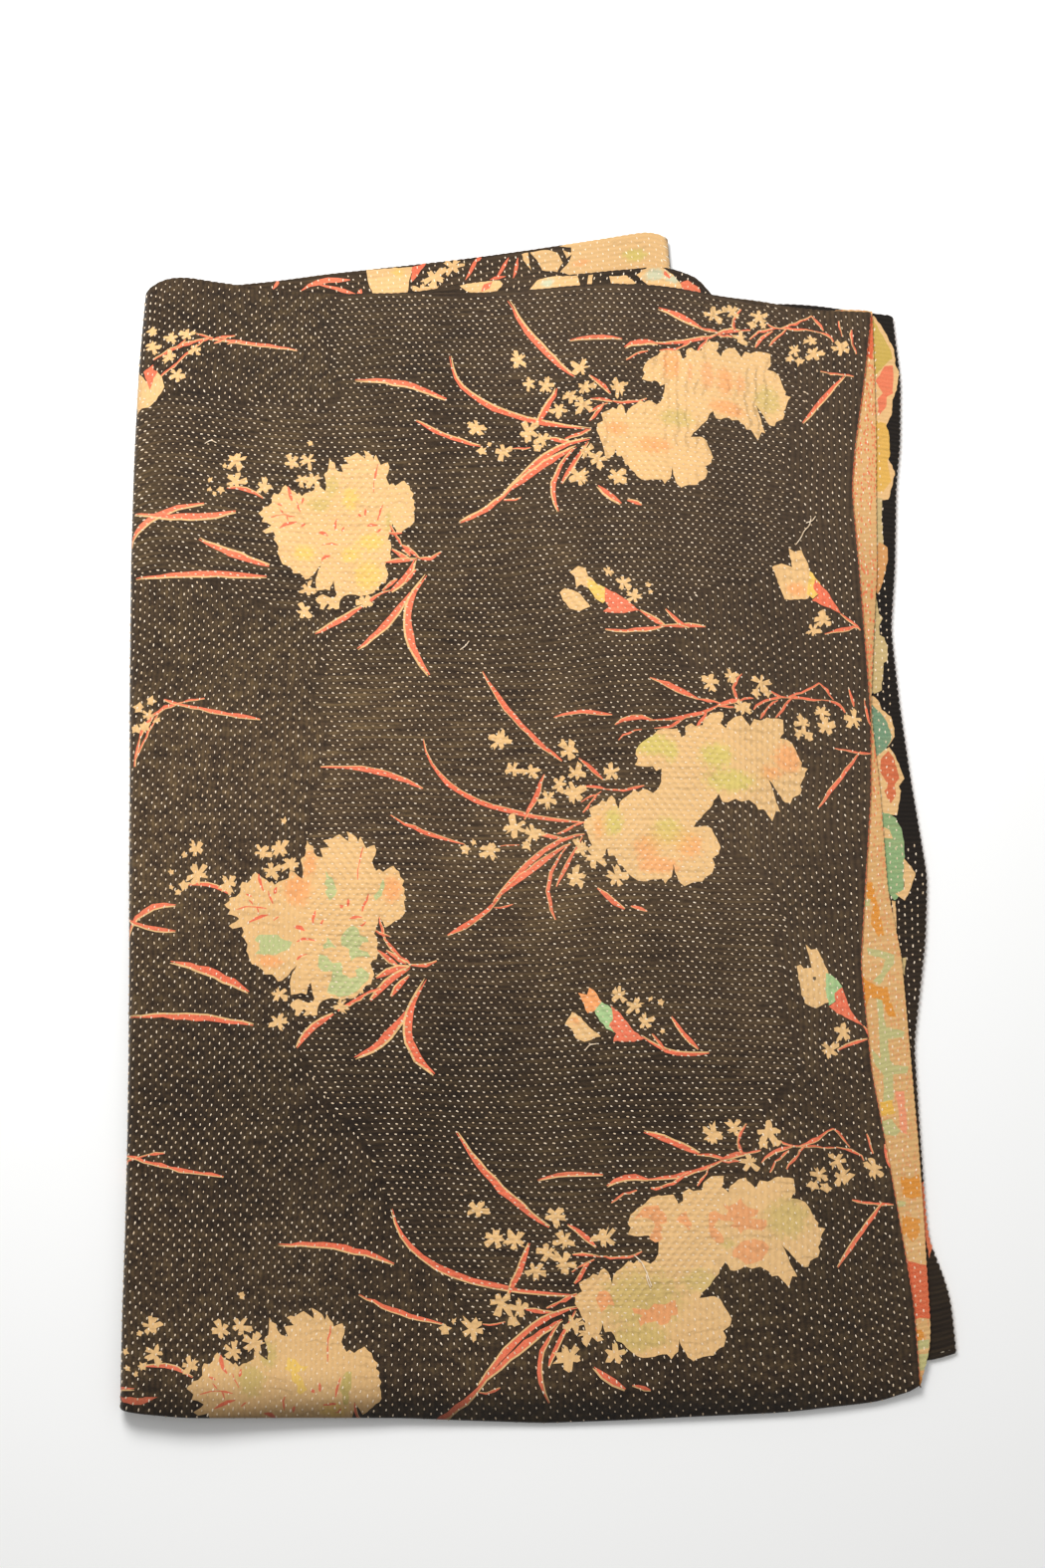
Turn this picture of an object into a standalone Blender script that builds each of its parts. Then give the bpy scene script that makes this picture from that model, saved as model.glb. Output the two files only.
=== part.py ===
"""Kantha quilt, folded in half three times and laid flat as a stack of eight layers.

The quilt is two cotton cloths sewn back to back: a dark printed front cloth and a pale back cloth. It is
first folded across its length, pale side inside, so that every layer becomes a pair of layers joined by a
round fold along the bottom edge. The pairs are then folded across their width, and once more. Seen from
the bottom edge, one pair runs like this, in units of its height:

    first panel    4 |   ,--------------------------------  right hems, on top of the stack
    second panel   3 |  | ,---------------------------------  right hems, on the surface past the fold below
    third panel    2 |  | '----------------.
    under panel    1 |   '-----------------'  inner right fold, slanting under the two top panels

A pair has two leaves, which the bottom fold joins. The first leaf is the upper one in the first panel.

Each cloth starts as a flat grid with its thickness. Its X counts the panels and folds met across the
width, its Y counts the first leaf, the bottom fold and the second leaf, and its Z is the distance from
the quilt's middle in metres. fold_cloth() then carries every corner of that grid to its place in the
folded stack.

Units are metres, +Z is up, +Y points to the top hems and +X to the right hems.
"""

import math
from typing import NamedTuple

import bmesh
import bpy
from mathutils import Vector

# --- Driving sizes --------------------------------------------------------------------------------

CLOTH_THICKNESS = 0.0010
GAP_BETWEEN_CLOTHS = 0.0003
LAYER_HEIGHT = 0.0030  # from one layer of the quilt to the next
PAIR_HEIGHT = 2 * LAYER_HEIGHT
PAIRS = 4  # on top of each other
STACK_HEIGHT = PAIRS * PAIR_HEIGHT
OUTER_RADIUS = 1.5  # of the turn round the two inner panels, in pair heights
INNER_RADIUS = 0.5  # of a turn from one pair to the next
QUILT_HALF_THICKNESS = CLOTH_THICKNESS + GAP_BETWEEN_CLOTHS / 2
# Left under the lowest layer before it is set down.
FLOOR_CLEARANCE = LAYER_HEIGHT / 2 - QUILT_HALF_THICKNESS

# The two top panels step down past the slanting fold of the panels beneath them.
STEP_START = 0.008  # from the fold's centre line to where the cloth leaves the stack
SECOND_PANEL_STEP = 0.055  # the width over which the second panel comes down
FIRST_PANEL_STEP = 0.095  # the first panel bridges the step more softly
# The first panel hangs past the bottom of the stack and sags to the surface.
SAG_START = 0.008
SAG_WIDTH = 0.036

# --- Outline tables -------------------------------------------------------------------------------
# Each row gives, at one height up the quilt, where its lines across the width lie: the outermost line of
# the left folds, the hems of the four leaves that end at the right, and the outermost line of the inner
# right fold.

SIDE_COLUMNS = (
    "y", "left_fold", "first_upper", "first_lower", "second_upper", "second_lower", "inner_fold",
)
SIDE_LINES = (
    (0.560, -0.4150, 0.3560, 0.3575, 0.3790, 0.3700, 0.1418),
    (0.480, -0.4186, 0.3457, 0.3570, 0.3845, 0.3770, 0.1480),
    (0.400, -0.4192, 0.3330, 0.3560, 0.3810, 0.3740, 0.1555),
    (0.350, -0.4191, 0.3278, 0.3540, 0.3752, 0.3680, 0.1600),
    (0.250, -0.4176, 0.3325, 0.3510, 0.3698, 0.3620, 0.1690),
    (0.180, -0.4153, 0.3350, 0.3452, 0.3632, 0.3570, 0.1755),
    (0.095, -0.4125, 0.3380, 0.3390, 0.3684, 0.3600, 0.1830),
    (0.010, -0.4088, 0.3352, 0.3450, 0.3764, 0.3690, 0.1905),
    (-0.100, -0.4047, 0.3248, 0.3488, 0.3887, 0.3800, 0.2000),
    (-0.170, -0.4017, 0.3184, 0.3595, 0.3842, 0.3780, 0.2060),
    (-0.280, -0.3976, 0.3249, 0.3645, 0.3685, 0.3640, 0.2150),
    (-0.370, -0.3952, 0.3377, 0.3685, 0.3702, 0.3650, 0.2225),
    (-0.450, -0.3938, 0.3480, 0.3705, 0.3725, 0.3690, 0.2290),
    (-0.482, -0.3936, 0.3519, 0.3708, 0.3742, 0.3710, 0.2315),
    (-0.520, -0.3933, 0.3565, 0.3718, 0.3862, 0.3830, 0.2345),
    (-0.548, -0.3927, 0.3576, 0.3722, 0.3925, 0.3900, 0.2364),
    (-0.572, -0.3921, 0.3584, 0.3700, 0.3940, 0.3930, 0.2381),
    (-0.600, -0.3915, 0.3592, 0.3592, 0.3955, 0.3955, 0.2400),
)

# Each row gives, at one place across the width, where the top hem of every leaf and the bottom fold of
# every panel lie. The leaves that share a fold agree beside it. "inner" stands for the under panel and the
# third panel alike, whose leaves are named as they lie in the third panel.

END_COLUMNS = (
    "x", "top_first_upper", "top_first_lower", "top_second_upper", "top_second_lower", "top_inner_upper",
    "top_inner_lower", "bottom_first", "bottom_second", "bottom_inner",
)
END_LINES = (
    (-0.418, 0.5330, 0.5310, 0.5310, 0.5330, 0.5330, 0.5310, -0.5850, -0.5850, -0.5850),
    (-0.404, 0.5500, 0.5470, 0.5470, 0.5500, 0.5500, 0.5470, -0.5950, -0.5950, -0.5950),
    (-0.380, 0.5555, 0.5500, 0.5430, 0.5470, 0.5490, 0.5450, -0.6010, -0.6010, -0.6010),
    (-0.330, 0.5478, 0.5430, 0.5390, 0.5420, 0.5505, 0.5440, -0.6055, -0.5960, -0.5980),
    (-0.278, 0.5397, 0.5350, 0.5360, 0.5390, 0.5560, 0.5480, -0.6055, -0.5880, -0.5900),
    (-0.219, 0.5351, 0.5310, 0.5370, 0.5350, 0.5648, 0.5560, -0.6055, -0.5810, -0.5830),
    (-0.125, 0.5363, 0.5320, 0.5430, 0.5380, 0.5760, 0.5680, -0.6058, -0.5750, -0.5775),
    (-0.060, 0.5363, 0.5320, 0.5545, 0.5470, 0.5843, 0.5760, -0.6084, -0.5725, -0.5755),
    (0.007, 0.5409, 0.5360, 0.5598, 0.5530, 0.5948, 0.5870, -0.6105, -0.5710, -0.5740),
    (0.065, 0.5478, 0.5420, 0.5655, 0.5590, 0.6045, 0.5970, -0.6085, -0.5700, -0.5730),
    (0.118, 0.5464, 0.5420, 0.5712, 0.5640, 0.6140, 0.6060, -0.6062, -0.5685, -0.5715),
    (0.130, 0.5448, 0.5410, 0.5725, 0.5650, 0.6140, 0.6060, -0.6055, -0.5680, -0.5710),
    (0.142, 0.5432, 0.5400, 0.5705, 0.5635, 0.6050, 0.6000, -0.6050, -0.5675, -0.5705),
    (0.162, 0.5402, 0.5372, 0.5645, 0.5590, 0.6010, 0.5960, -0.6041, -0.5666, -0.5696),
    (0.182, 0.5374, 0.5346, 0.5605, 0.5550, 0.5960, 0.5910, -0.6032, -0.5657, -0.5687),
    (0.190, 0.5364, 0.5338, 0.5330, 0.5300, 0.5945, 0.5895, -0.6029, -0.5654, -0.5684),
    (0.212, 0.5352, 0.5326, 0.5330, 0.5300, 0.5920, 0.5870, -0.6018, -0.5642, -0.5672),
    (0.234, 0.5340, 0.5314, 0.5342, 0.5302, 0.5900, 0.5850, -0.6008, -0.5630, -0.5660),
    (0.270, 0.5262, 0.5236, 0.5348, 0.5308, 0.5860, 0.5810, -0.5968, -0.5610, -0.5643),
    (0.300, 0.5226, 0.5212, 0.5325, 0.5285, 0.5825, 0.5775, -0.5935, -0.5592, -0.5629),
    (0.322, 0.5216, 0.5270, 0.5290, 0.5250, 0.5800, 0.5750, -0.5911, -0.5580, -0.5620),
    (0.356, 0.5204, 0.5258, 0.5240, 0.5205, 0.5800, 0.5750, -0.5800, -0.5550, -0.5600),
    (0.380, 0.5180, 0.5190, 0.5212, 0.5180, 0.5800, 0.5750, -0.5740, -0.5530, -0.5600),
    (0.400, 0.5160, 0.5170, 0.5130, 0.5100, 0.5800, 0.5750, -0.5720, -0.5450, -0.5600),
)

# Soft swells of the loosely stacked cloth, strongest on the top layer.

SWELL_COLUMNS = ("x", "y", "half_length", "half_width", "slant", "rise")
SWELLS = (
    (-0.050, 0.440, 0.420, 0.130, 0.02, 0.0016),
    (0.060, 0.100, 0.500, 0.150, -0.05, 0.0022),
    (-0.120, -0.110, 0.420, 0.130, 0.04, 0.0020),
    (0.120, -0.420, 0.400, 0.140, 0.06, 0.0018),
)

# --- Steps of the grid ----------------------------------------------------------------------------

SHARE_STATIONS = (0.0, 0.16, 0.32, 0.48, 0.64, 0.80, 0.93, 1.0)  # from the left folds to the inner fold
STEP_STATIONS = (0.010, 0.028, 0.046, 0.066, 0.104)  # past the inner fold line, over the step, in metres
HEM_STATIONS = (0.5, 1.0)  # from the foot of the step to the hem
LENGTH_STATIONS = (  # from the bottom fold to the top hem, close together where the cloth sags
    0.0, 0.009, 0.018, 0.027, 0.038, 0.054, 0.095, 0.19, 0.29, 0.39, 0.49, 0.59, 0.69, 0.79, 0.895, 1.0,
)
BOTTOM_FOLD_STEPS = 4

# --- Materials -------------------------------------------------------------------------------------------

FRONT_COLOUR = (0.045, 0.034, 0.025)
BACK_COLOUR = (0.66, 0.42, 0.24)
COTTON_ROUGHNESS = 0.9
SHARP_ANGLE = math.radians(60)  # edges sharper than this are not shaded smooth


class Panel(NamedTuple):
    """A flat run of the pair between two folds, or from a fold to the hems."""

    lines: str  # the outline columns that it follows
    level: float  # height of the pair's middle, in pair heights
    rightward: bool  # the way the pair runs through it
    reaches_hem: bool


class Fold(NamedTuple):
    """A half turn of the pair from one panel to the next."""

    lines: str
    level: float  # height of the turn's axis, in pair heights
    radius: float  # in pair heights
    at_left: bool
    first_leaf_out: bool  # whether the first leaf lies on the outside of the turn
    steps: int


# The pair's way through the stack, from the top right hems to the second panel's hems.
RUN = (
    Panel("first", 3.5, rightward=False, reaches_hem=True),
    Fold("first", 2.0, OUTER_RADIUS, at_left=True, first_leaf_out=True, steps=6),
    Panel("inner", 0.5, rightward=True, reaches_hem=False),
    Fold("inner", 1.0, INNER_RADIUS, at_left=False, first_leaf_out=True, steps=4),
    Panel("inner", 1.5, rightward=False, reaches_hem=False),
    Fold("inner", 2.0, INNER_RADIUS, at_left=True, first_leaf_out=False, steps=4),
    Panel("second", 2.5, rightward=True, reaches_hem=True),
)


# --- Reading the tables ---------------------------------------------------------------------------


def read_table(columns, rows, column, at):
    """Value of a column at a place along the first column, straight between rows and held past them."""
    index = columns.index(column)
    rising = sorted(rows)
    if at <= rising[0][0]:
        return rising[0][index]
    for low, high in zip(rising, rising[1:]):
        if at <= high[0]:
            share = (at - low[0]) / (high[0] - low[0])
            return low[index] + share * (high[index] - low[index])
    return rising[-1][index]


def side_line(column, y):
    """Place across the width of one of the side lines, at a height up the quilt."""
    return read_table(SIDE_COLUMNS, SIDE_LINES, column, y)


def end_line(column, x):
    """Place up the quilt of one of the end lines, at a place across the width."""
    return read_table(END_COLUMNS, END_LINES, column, x)


def smooth_step(value):
    """0 below 0, 1 above 1, and a soft S between them."""
    value = min(1.0, max(0.0, value))
    return value * value * (3 - 2 * value)


# --- Lines of the folded stack --------------------------------------------------------------------

HALF_PAIR = LAYER_HEIGHT / 2 + QUILT_HALF_THICKNESS  # from a pair's middle to its outside
OUTER_TURN = OUTER_RADIUS * PAIR_HEIGHT + HALF_PAIR  # from the left folds' axis to their outside
INNER_TURN = INNER_RADIUS * PAIR_HEIGHT + HALF_PAIR
BOTTOM_END = SIDE_LINES[-1][0]
TOP_END = SIDE_LINES[0][0]


def left_axis(y):
    """The line about which both left folds turn."""
    return side_line("left_fold", y) + OUTER_TURN


def inner_axis(y):
    """The slanting line about which the under panel turns back."""
    return side_line("inner_fold", y) - INNER_TURN


def hem_name(lines, upper):
    """Name of a leaf in the tables' columns."""
    return f"{lines}_{'upper' if upper else 'lower'}"


def leaf_is_upper(lines, on_first_leaf):
    """Whether a leaf is the upper one of its columns: the first leaf is, but for the second panel."""
    return on_first_leaf if lines != "second" else not on_first_leaf


def across(station, y, hem):
    """Place across: 0 at the left axis, 1 at the inner fold's axis, 2 past the step and 3 at the hem."""
    left, inner = left_axis(y), inner_axis(y)
    if station <= 1:
        return left + station * (inner - left)
    foot = inner + STEP_STATIONS[-1]
    if station <= 2:
        return inner + (station - 1) * STEP_STATIONS[-1]
    return foot + (station - 2) * (hem - foot)


def swell(x, y):
    """Height of the soft swells at one place."""
    height = 0.0
    for row in SWELLS:
        ridge = dict(zip(SWELL_COLUMNS, row))
        along = (x - ridge["x"]) / ridge["half_length"]
        across_ridge = (y - ridge["y"] - ridge["slant"] * (x - ridge["x"])) / ridge["half_width"]
        reach = along * along + across_ridge * across_ridge
        height += ridge["rise"] * max(0.0, 1 - reach) ** 2
    return height


def drop(lines, x, y, past_fold):
    """How far a panel lies below its full height: past the inner fold, and past the stack's bottom edge."""
    if lines == "inner":
        return 0.0
    width = FIRST_PANEL_STEP if lines == "first" else SECOND_PANEL_STEP
    stack_below = 2 * PAIR_HEIGHT
    stepped = stack_below * smooth_step((past_fold - STEP_START) / width)
    if lines == "second":
        return stepped
    overhang = end_line("bottom_inner", x) - y
    beneath = stack_below - stepped + PAIR_HEIGHT
    return stepped + beneath * smooth_step((overhang - SAG_START) / SAG_WIDTH)


# --- Folding --------------------------------------------------------------------------------------


def run_stations(part):
    """Stations across one panel or fold, in the order in which the pair runs through it."""
    if isinstance(part, Fold):
        return [step / part.steps for step in range(part.steps + 1)]
    stations = list(SHARE_STATIONS)
    if part.reaches_hem:
        stations += [1 + step / STEP_STATIONS[-1] for step in STEP_STATIONS]
        stations += [2 + share for share in HEM_STATIONS]
    return stations if part.rightward else stations[::-1]


def leaf_stations():
    """Stations from the first leaf's hem to the bottom fold, round it, and to the second leaf's hem."""
    leaf = [("first", station) for station in reversed(LENGTH_STATIONS)]
    turn = [("turn", step / BOTTOM_FOLD_STEPS) for step in range(1, BOTTOM_FOLD_STEPS)]
    return leaf + turn + [("second", station) for station in LENGTH_STATIONS]


def pair_section(part, station, past_middle, y, hem):
    """Place (x, z) of a point of the pair in the section across the stack, before panels drop.

    past_middle is the point's distance from the pair's middle, positive on the side of the first leaf.
    """
    if isinstance(part, Panel):
        outward = -1 if part.rightward else 1
        return across(station, y, hem), part.level * PAIR_HEIGHT + outward * past_middle
    turned = math.pi * station
    if part.at_left:
        angle = math.pi / 2 + turned if part.first_leaf_out else 3 * math.pi / 2 - turned
        axis = left_axis(y)
    else:
        angle = turned - math.pi / 2
        axis = inner_axis(y)
    radius = part.radius * PAIR_HEIGHT + (past_middle if part.first_leaf_out else -past_middle)
    return axis + radius * math.cos(angle), part.level * PAIR_HEIGHT + radius * math.sin(angle)


def folded_point(part, station, leaf, length_station, offset):
    """Where a point of a cloth lies in the stack, from its stations and its offset from the middle."""
    reach = LAYER_HEIGHT / 2 + offset
    turned = 0.0 if leaf == "first" else math.pi
    if leaf == "turn":
        turned, length_station = math.pi * length_station, 0.0
    past_middle, bulge = reach * math.cos(turned), -reach * math.sin(turned)
    upper = leaf_is_upper(part.lines, turned < math.pi / 2)
    nominal_y = BOTTOM_END + length_station * (TOP_END - BOTTOM_END)
    hem = side_line(hem_name(part.lines, upper), nominal_y) if part.lines != "inner" else 0.0
    x, z = pair_section(part, station, past_middle, nominal_y, hem)
    top = end_line("top_" + hem_name(part.lines, upper), x)
    bottom = end_line("bottom_" + part.lines, x)
    y = bottom + length_station * (top - bottom) + bulge
    z -= drop(part.lines, x, y, x - inner_axis(nominal_y)) + FLOOR_CLEARANCE
    z *= 1 + swell(x, y) * z / STACK_HEIGHT**2
    return Vector((x, y, z))


# --- Building -------------------------------------------------------------------------------------


def flat_cloth(name, columns, rows):
    """A flat grid of the cloth in steps of one, with its thickness from a Solidify modifier."""
    work = bmesh.new()
    bmesh.ops.create_grid(work, x_segments=columns, y_segments=rows, size=0.5)
    bmesh.ops.scale(work, vec=(columns, rows, 1), verts=work.verts)
    bmesh.ops.translate(work, vec=(columns / 2, rows / 2, 0), verts=work.verts)
    mesh = bpy.data.meshes.new(name + "_flat")
    work.to_mesh(mesh)
    work.free()
    flat = bpy.data.objects.new(name + "_flat", mesh)
    bpy.context.scene.collection.objects.link(flat)
    solidify = flat.modifiers.new("Thickness", "SOLIDIFY")
    solidify.thickness = CLOTH_THICKNESS
    solidify.offset = 0
    thick = bpy.data.meshes.new_from_object(flat.evaluated_get(bpy.context.evaluated_depsgraph_get()))
    bpy.data.objects.remove(flat)
    thick.name = name
    return thick


def fold_cloth(name, middle, material, collection):
    """Build one cloth, its middle plane this far towards the front cloth from the quilt's middle."""
    run = [(part, station) for part in RUN for station in run_stations(part)]
    joined = [run[0]] + [later for earlier, later in zip(run, run[1:]) if earlier[0] is later[0]]
    length = leaf_stations()
    mesh = flat_cloth(name, len(joined) - 1, len(length) - 1)
    for vertex in mesh.vertices:
        part, station = joined[round(vertex.co.x)]
        leaf, length_station = length[round(vertex.co.y)]
        vertex.co = folded_point(part, station, leaf, length_station, middle + vertex.co.z)
    mesh.materials.clear()
    mesh.materials.append(material)
    cloth = bpy.data.objects.new(name, mesh)
    collection.objects.link(cloth)
    mesh.shade_smooth()
    mesh.set_sharp_from_angle(angle=SHARP_ANGLE)
    return cloth


def split_quads(work):
    """Split each four-sided face the same way in plan, so that the layers' facets stay parallel."""
    for face in [face for face in work.faces if len(face.verts) == 4]:
        corners = sorted(face.verts, key=lambda corner: corner.co.x + corner.co.y)
        near, far = corners[0], corners[-1]
        if not any(edge.other_vert(near) is far for edge in near.link_edges if edge in face.edges[:]):
            bmesh.utils.face_split(face, near, far)


def finish_faces(cloth):
    """Split the folded faces, and turn them outward where the folding has mirrored the grid."""
    work = bmesh.new()
    work.from_mesh(cloth.data)
    split_quads(work)
    if work.calc_volume(signed=True) < 0:
        bmesh.ops.reverse_faces(work, faces=work.faces)
    work.to_mesh(cloth.data)
    work.free()


def centre_on_origin(cloths):
    """Move the cloths together so that the middle of their common box lies over the origin."""
    corners = [vertex.co for cloth in cloths for vertex in cloth.data.vertices]
    low = Vector(min(corner[axis] for corner in corners) for axis in range(3))
    high = Vector(max(corner[axis] for corner in corners) for axis in range(3))
    shift = Vector((-(low.x + high.x) / 2, -(low.y + high.y) / 2, 0))
    for cloth in cloths:
        for vertex in cloth.data.vertices:
            vertex.co += shift


def cotton(name, colour):
    """A plain cotton material."""
    material = bpy.data.materials.new(name)
    material.use_nodes = True
    shader = material.node_tree.nodes["Principled BSDF"]
    shader.inputs["Base Color"].default_value = (*colour, 1)
    shader.inputs["Roughness"].default_value = COTTON_ROUGHNESS
    shader.inputs["Metallic"].default_value = 0
    return material


def clear_scene():
    """Remove the objects of the scene."""
    for item in list(bpy.data.objects):
        bpy.data.objects.remove(item, do_unlink=True)


def build_quilt():
    """Build both cloths in a collection of their own."""
    collection = bpy.data.collections.new("Kantha quilt")
    bpy.context.scene.collection.children.link(collection)
    middle = (GAP_BETWEEN_CLOTHS + CLOTH_THICKNESS) / 2
    front = fold_cloth("front_cloth", middle, cotton("Dark printed cotton", FRONT_COLOUR), collection)
    back = fold_cloth("back_cloth", -middle, cotton("Pale printed cotton", BACK_COLOUR), collection)
    for cloth in (front, back):
        finish_faces(cloth)
    centre_on_origin((front, back))


clear_scene()
build_quilt()
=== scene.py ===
"""Looks of a folded kantha quilt: two printed cotton cloths, hand stitched together and folded into eight layers.

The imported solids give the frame. Here each cloth becomes a thin sheet in the same folds. A sheet is drawn flat, in
metres on the unfolded quilt, with the outlines of its print as edges of its mesh, and FoldedStack then carries every
point to its place. Seen flat, the print's U runs across the quilt from the top right hems and V along it.

Units are metres, +Z is up, +Y points to the top hems and +X to the right hems.
"""

import logging
import math
from dataclasses import dataclass, field
from enum import Enum
from typing import Iterable, NamedTuple

import bpy
import numpy as np
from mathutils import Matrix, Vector
from mathutils.geometry import delaunay_2d_cdt

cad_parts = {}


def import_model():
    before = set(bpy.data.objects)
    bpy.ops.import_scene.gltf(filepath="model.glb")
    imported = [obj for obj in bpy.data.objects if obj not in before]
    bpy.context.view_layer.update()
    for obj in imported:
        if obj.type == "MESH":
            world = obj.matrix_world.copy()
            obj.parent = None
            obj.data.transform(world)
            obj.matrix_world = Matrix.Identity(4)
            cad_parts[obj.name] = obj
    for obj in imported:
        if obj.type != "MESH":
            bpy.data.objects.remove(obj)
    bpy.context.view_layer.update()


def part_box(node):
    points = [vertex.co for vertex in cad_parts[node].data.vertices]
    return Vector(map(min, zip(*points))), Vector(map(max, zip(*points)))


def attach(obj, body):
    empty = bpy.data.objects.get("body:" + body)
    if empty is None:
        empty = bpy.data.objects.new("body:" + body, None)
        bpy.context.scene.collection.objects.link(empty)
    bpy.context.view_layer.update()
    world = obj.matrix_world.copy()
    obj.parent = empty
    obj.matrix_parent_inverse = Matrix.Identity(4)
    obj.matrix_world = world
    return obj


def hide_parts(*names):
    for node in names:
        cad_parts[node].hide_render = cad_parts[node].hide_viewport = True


LOG = logging.getLogger("kantha_quilt")
SEED = 20
MM = 0.001  # in metres
TURN = 2 * math.pi  # in radians

Array = np.ndarray
Colour = tuple[float, float, float]
Place = tuple[float, float, float]
Pair = tuple[float, float]


# === Sizes and outlines of the folded stack ===


@dataclass(frozen=True)
class StackSizes:
    """Heights and turns of the folded quilt, as its solids have them."""

    cloth: float = 0.0010
    gap: float = 0.0003
    layer: float = 0.0030
    step_start: float = 0.008  # from the inner fold to where the upper panels start to sink
    second_panel_step: float = 0.055
    first_panel_step: float = 0.095
    sag_start: float = 0.008  # from the under panels' bottom fold to where the first panel starts to sag
    sag_width: float = 0.036

    @property
    def pair(self) -> float:
        """Height of one panel, which is a pair of layers."""
        return 2 * self.layer

    @property
    def skin(self) -> float:
        """From the quilt's middle to its printed face."""
        return self.cloth + self.gap / 2

    @property
    def height(self) -> float:
        """Height of the four panels."""
        return 4 * self.pair

    @property
    def bottom_turn(self) -> float:
        """Radius of the quilt's middle in the fold along the bottom."""
        return self.layer / 2


class Lines:
    """A short table of outline lines, softly rounded between its rows."""

    STEP = 0.002
    ROUNDING = 0.022

    def __init__(self, columns: tuple[str, ...], rows: Iterable[tuple[float, ...]]) -> None:
        """Keep every column on a fine even ladder.

        Args:
            columns: names of the columns; the first is where along the quilt a row lies.
            rows: the rows, in any order.
        """
        data = np.array(sorted(rows))
        self.places = np.arange(data[0, 0] - self.ROUNDING, data[-1, 0] + self.ROUNDING, self.STEP)
        reach = round(self.ROUNDING / self.STEP)
        weights = np.hanning(2 * reach + 3)[1:-1]
        weights /= weights.sum()
        self.values = {}
        for index, name in enumerate(columns[1:], start=1):
            straight = np.interp(self.places, data[:, 0], data[:, index])
            self.values[name] = np.convolve(np.pad(straight, reach, mode="edge"), weights, mode="valid")

    def read(self, column: str, at: Array) -> Array:
        """Values of one column at places along the table, held past its ends."""
        return np.interp(at, self.places, self.values[column])


SIDE_LINES = Lines(
    ("y", "left_fold", "first_upper", "first_lower", "second_upper", "second_lower", "inner_fold"),
    (
        (0.560, -0.4150, 0.3560, 0.3575, 0.3790, 0.3700, 0.1418),
        (0.480, -0.4186, 0.3457, 0.3570, 0.3845, 0.3770, 0.1480),
        (0.400, -0.4192, 0.3330, 0.3560, 0.3810, 0.3740, 0.1555),
        (0.350, -0.4191, 0.3278, 0.3540, 0.3752, 0.3680, 0.1600),
        (0.250, -0.4176, 0.3325, 0.3510, 0.3698, 0.3620, 0.1690),
        (0.180, -0.4153, 0.3350, 0.3452, 0.3632, 0.3570, 0.1755),
        (0.095, -0.4125, 0.3380, 0.3390, 0.3684, 0.3600, 0.1830),
        (0.010, -0.4088, 0.3352, 0.3450, 0.3764, 0.3690, 0.1905),
        (-0.100, -0.4047, 0.3248, 0.3488, 0.3887, 0.3800, 0.2000),
        (-0.170, -0.4017, 0.3184, 0.3595, 0.3842, 0.3780, 0.2060),
        (-0.280, -0.3976, 0.3249, 0.3645, 0.3685, 0.3640, 0.2150),
        (-0.370, -0.3952, 0.3377, 0.3685, 0.3702, 0.3650, 0.2225),
        (-0.450, -0.3938, 0.3480, 0.3705, 0.3725, 0.3690, 0.2290),
        (-0.482, -0.3936, 0.3519, 0.3708, 0.3742, 0.3710, 0.2315),
        (-0.520, -0.3933, 0.3565, 0.3718, 0.3862, 0.3830, 0.2345),
        (-0.548, -0.3927, 0.3576, 0.3722, 0.3925, 0.3900, 0.2364),
        (-0.572, -0.3921, 0.3584, 0.3700, 0.3940, 0.3930, 0.2381),
        (-0.600, -0.3915, 0.3592, 0.3592, 0.3955, 0.3955, 0.2400),
    ),
)

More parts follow.
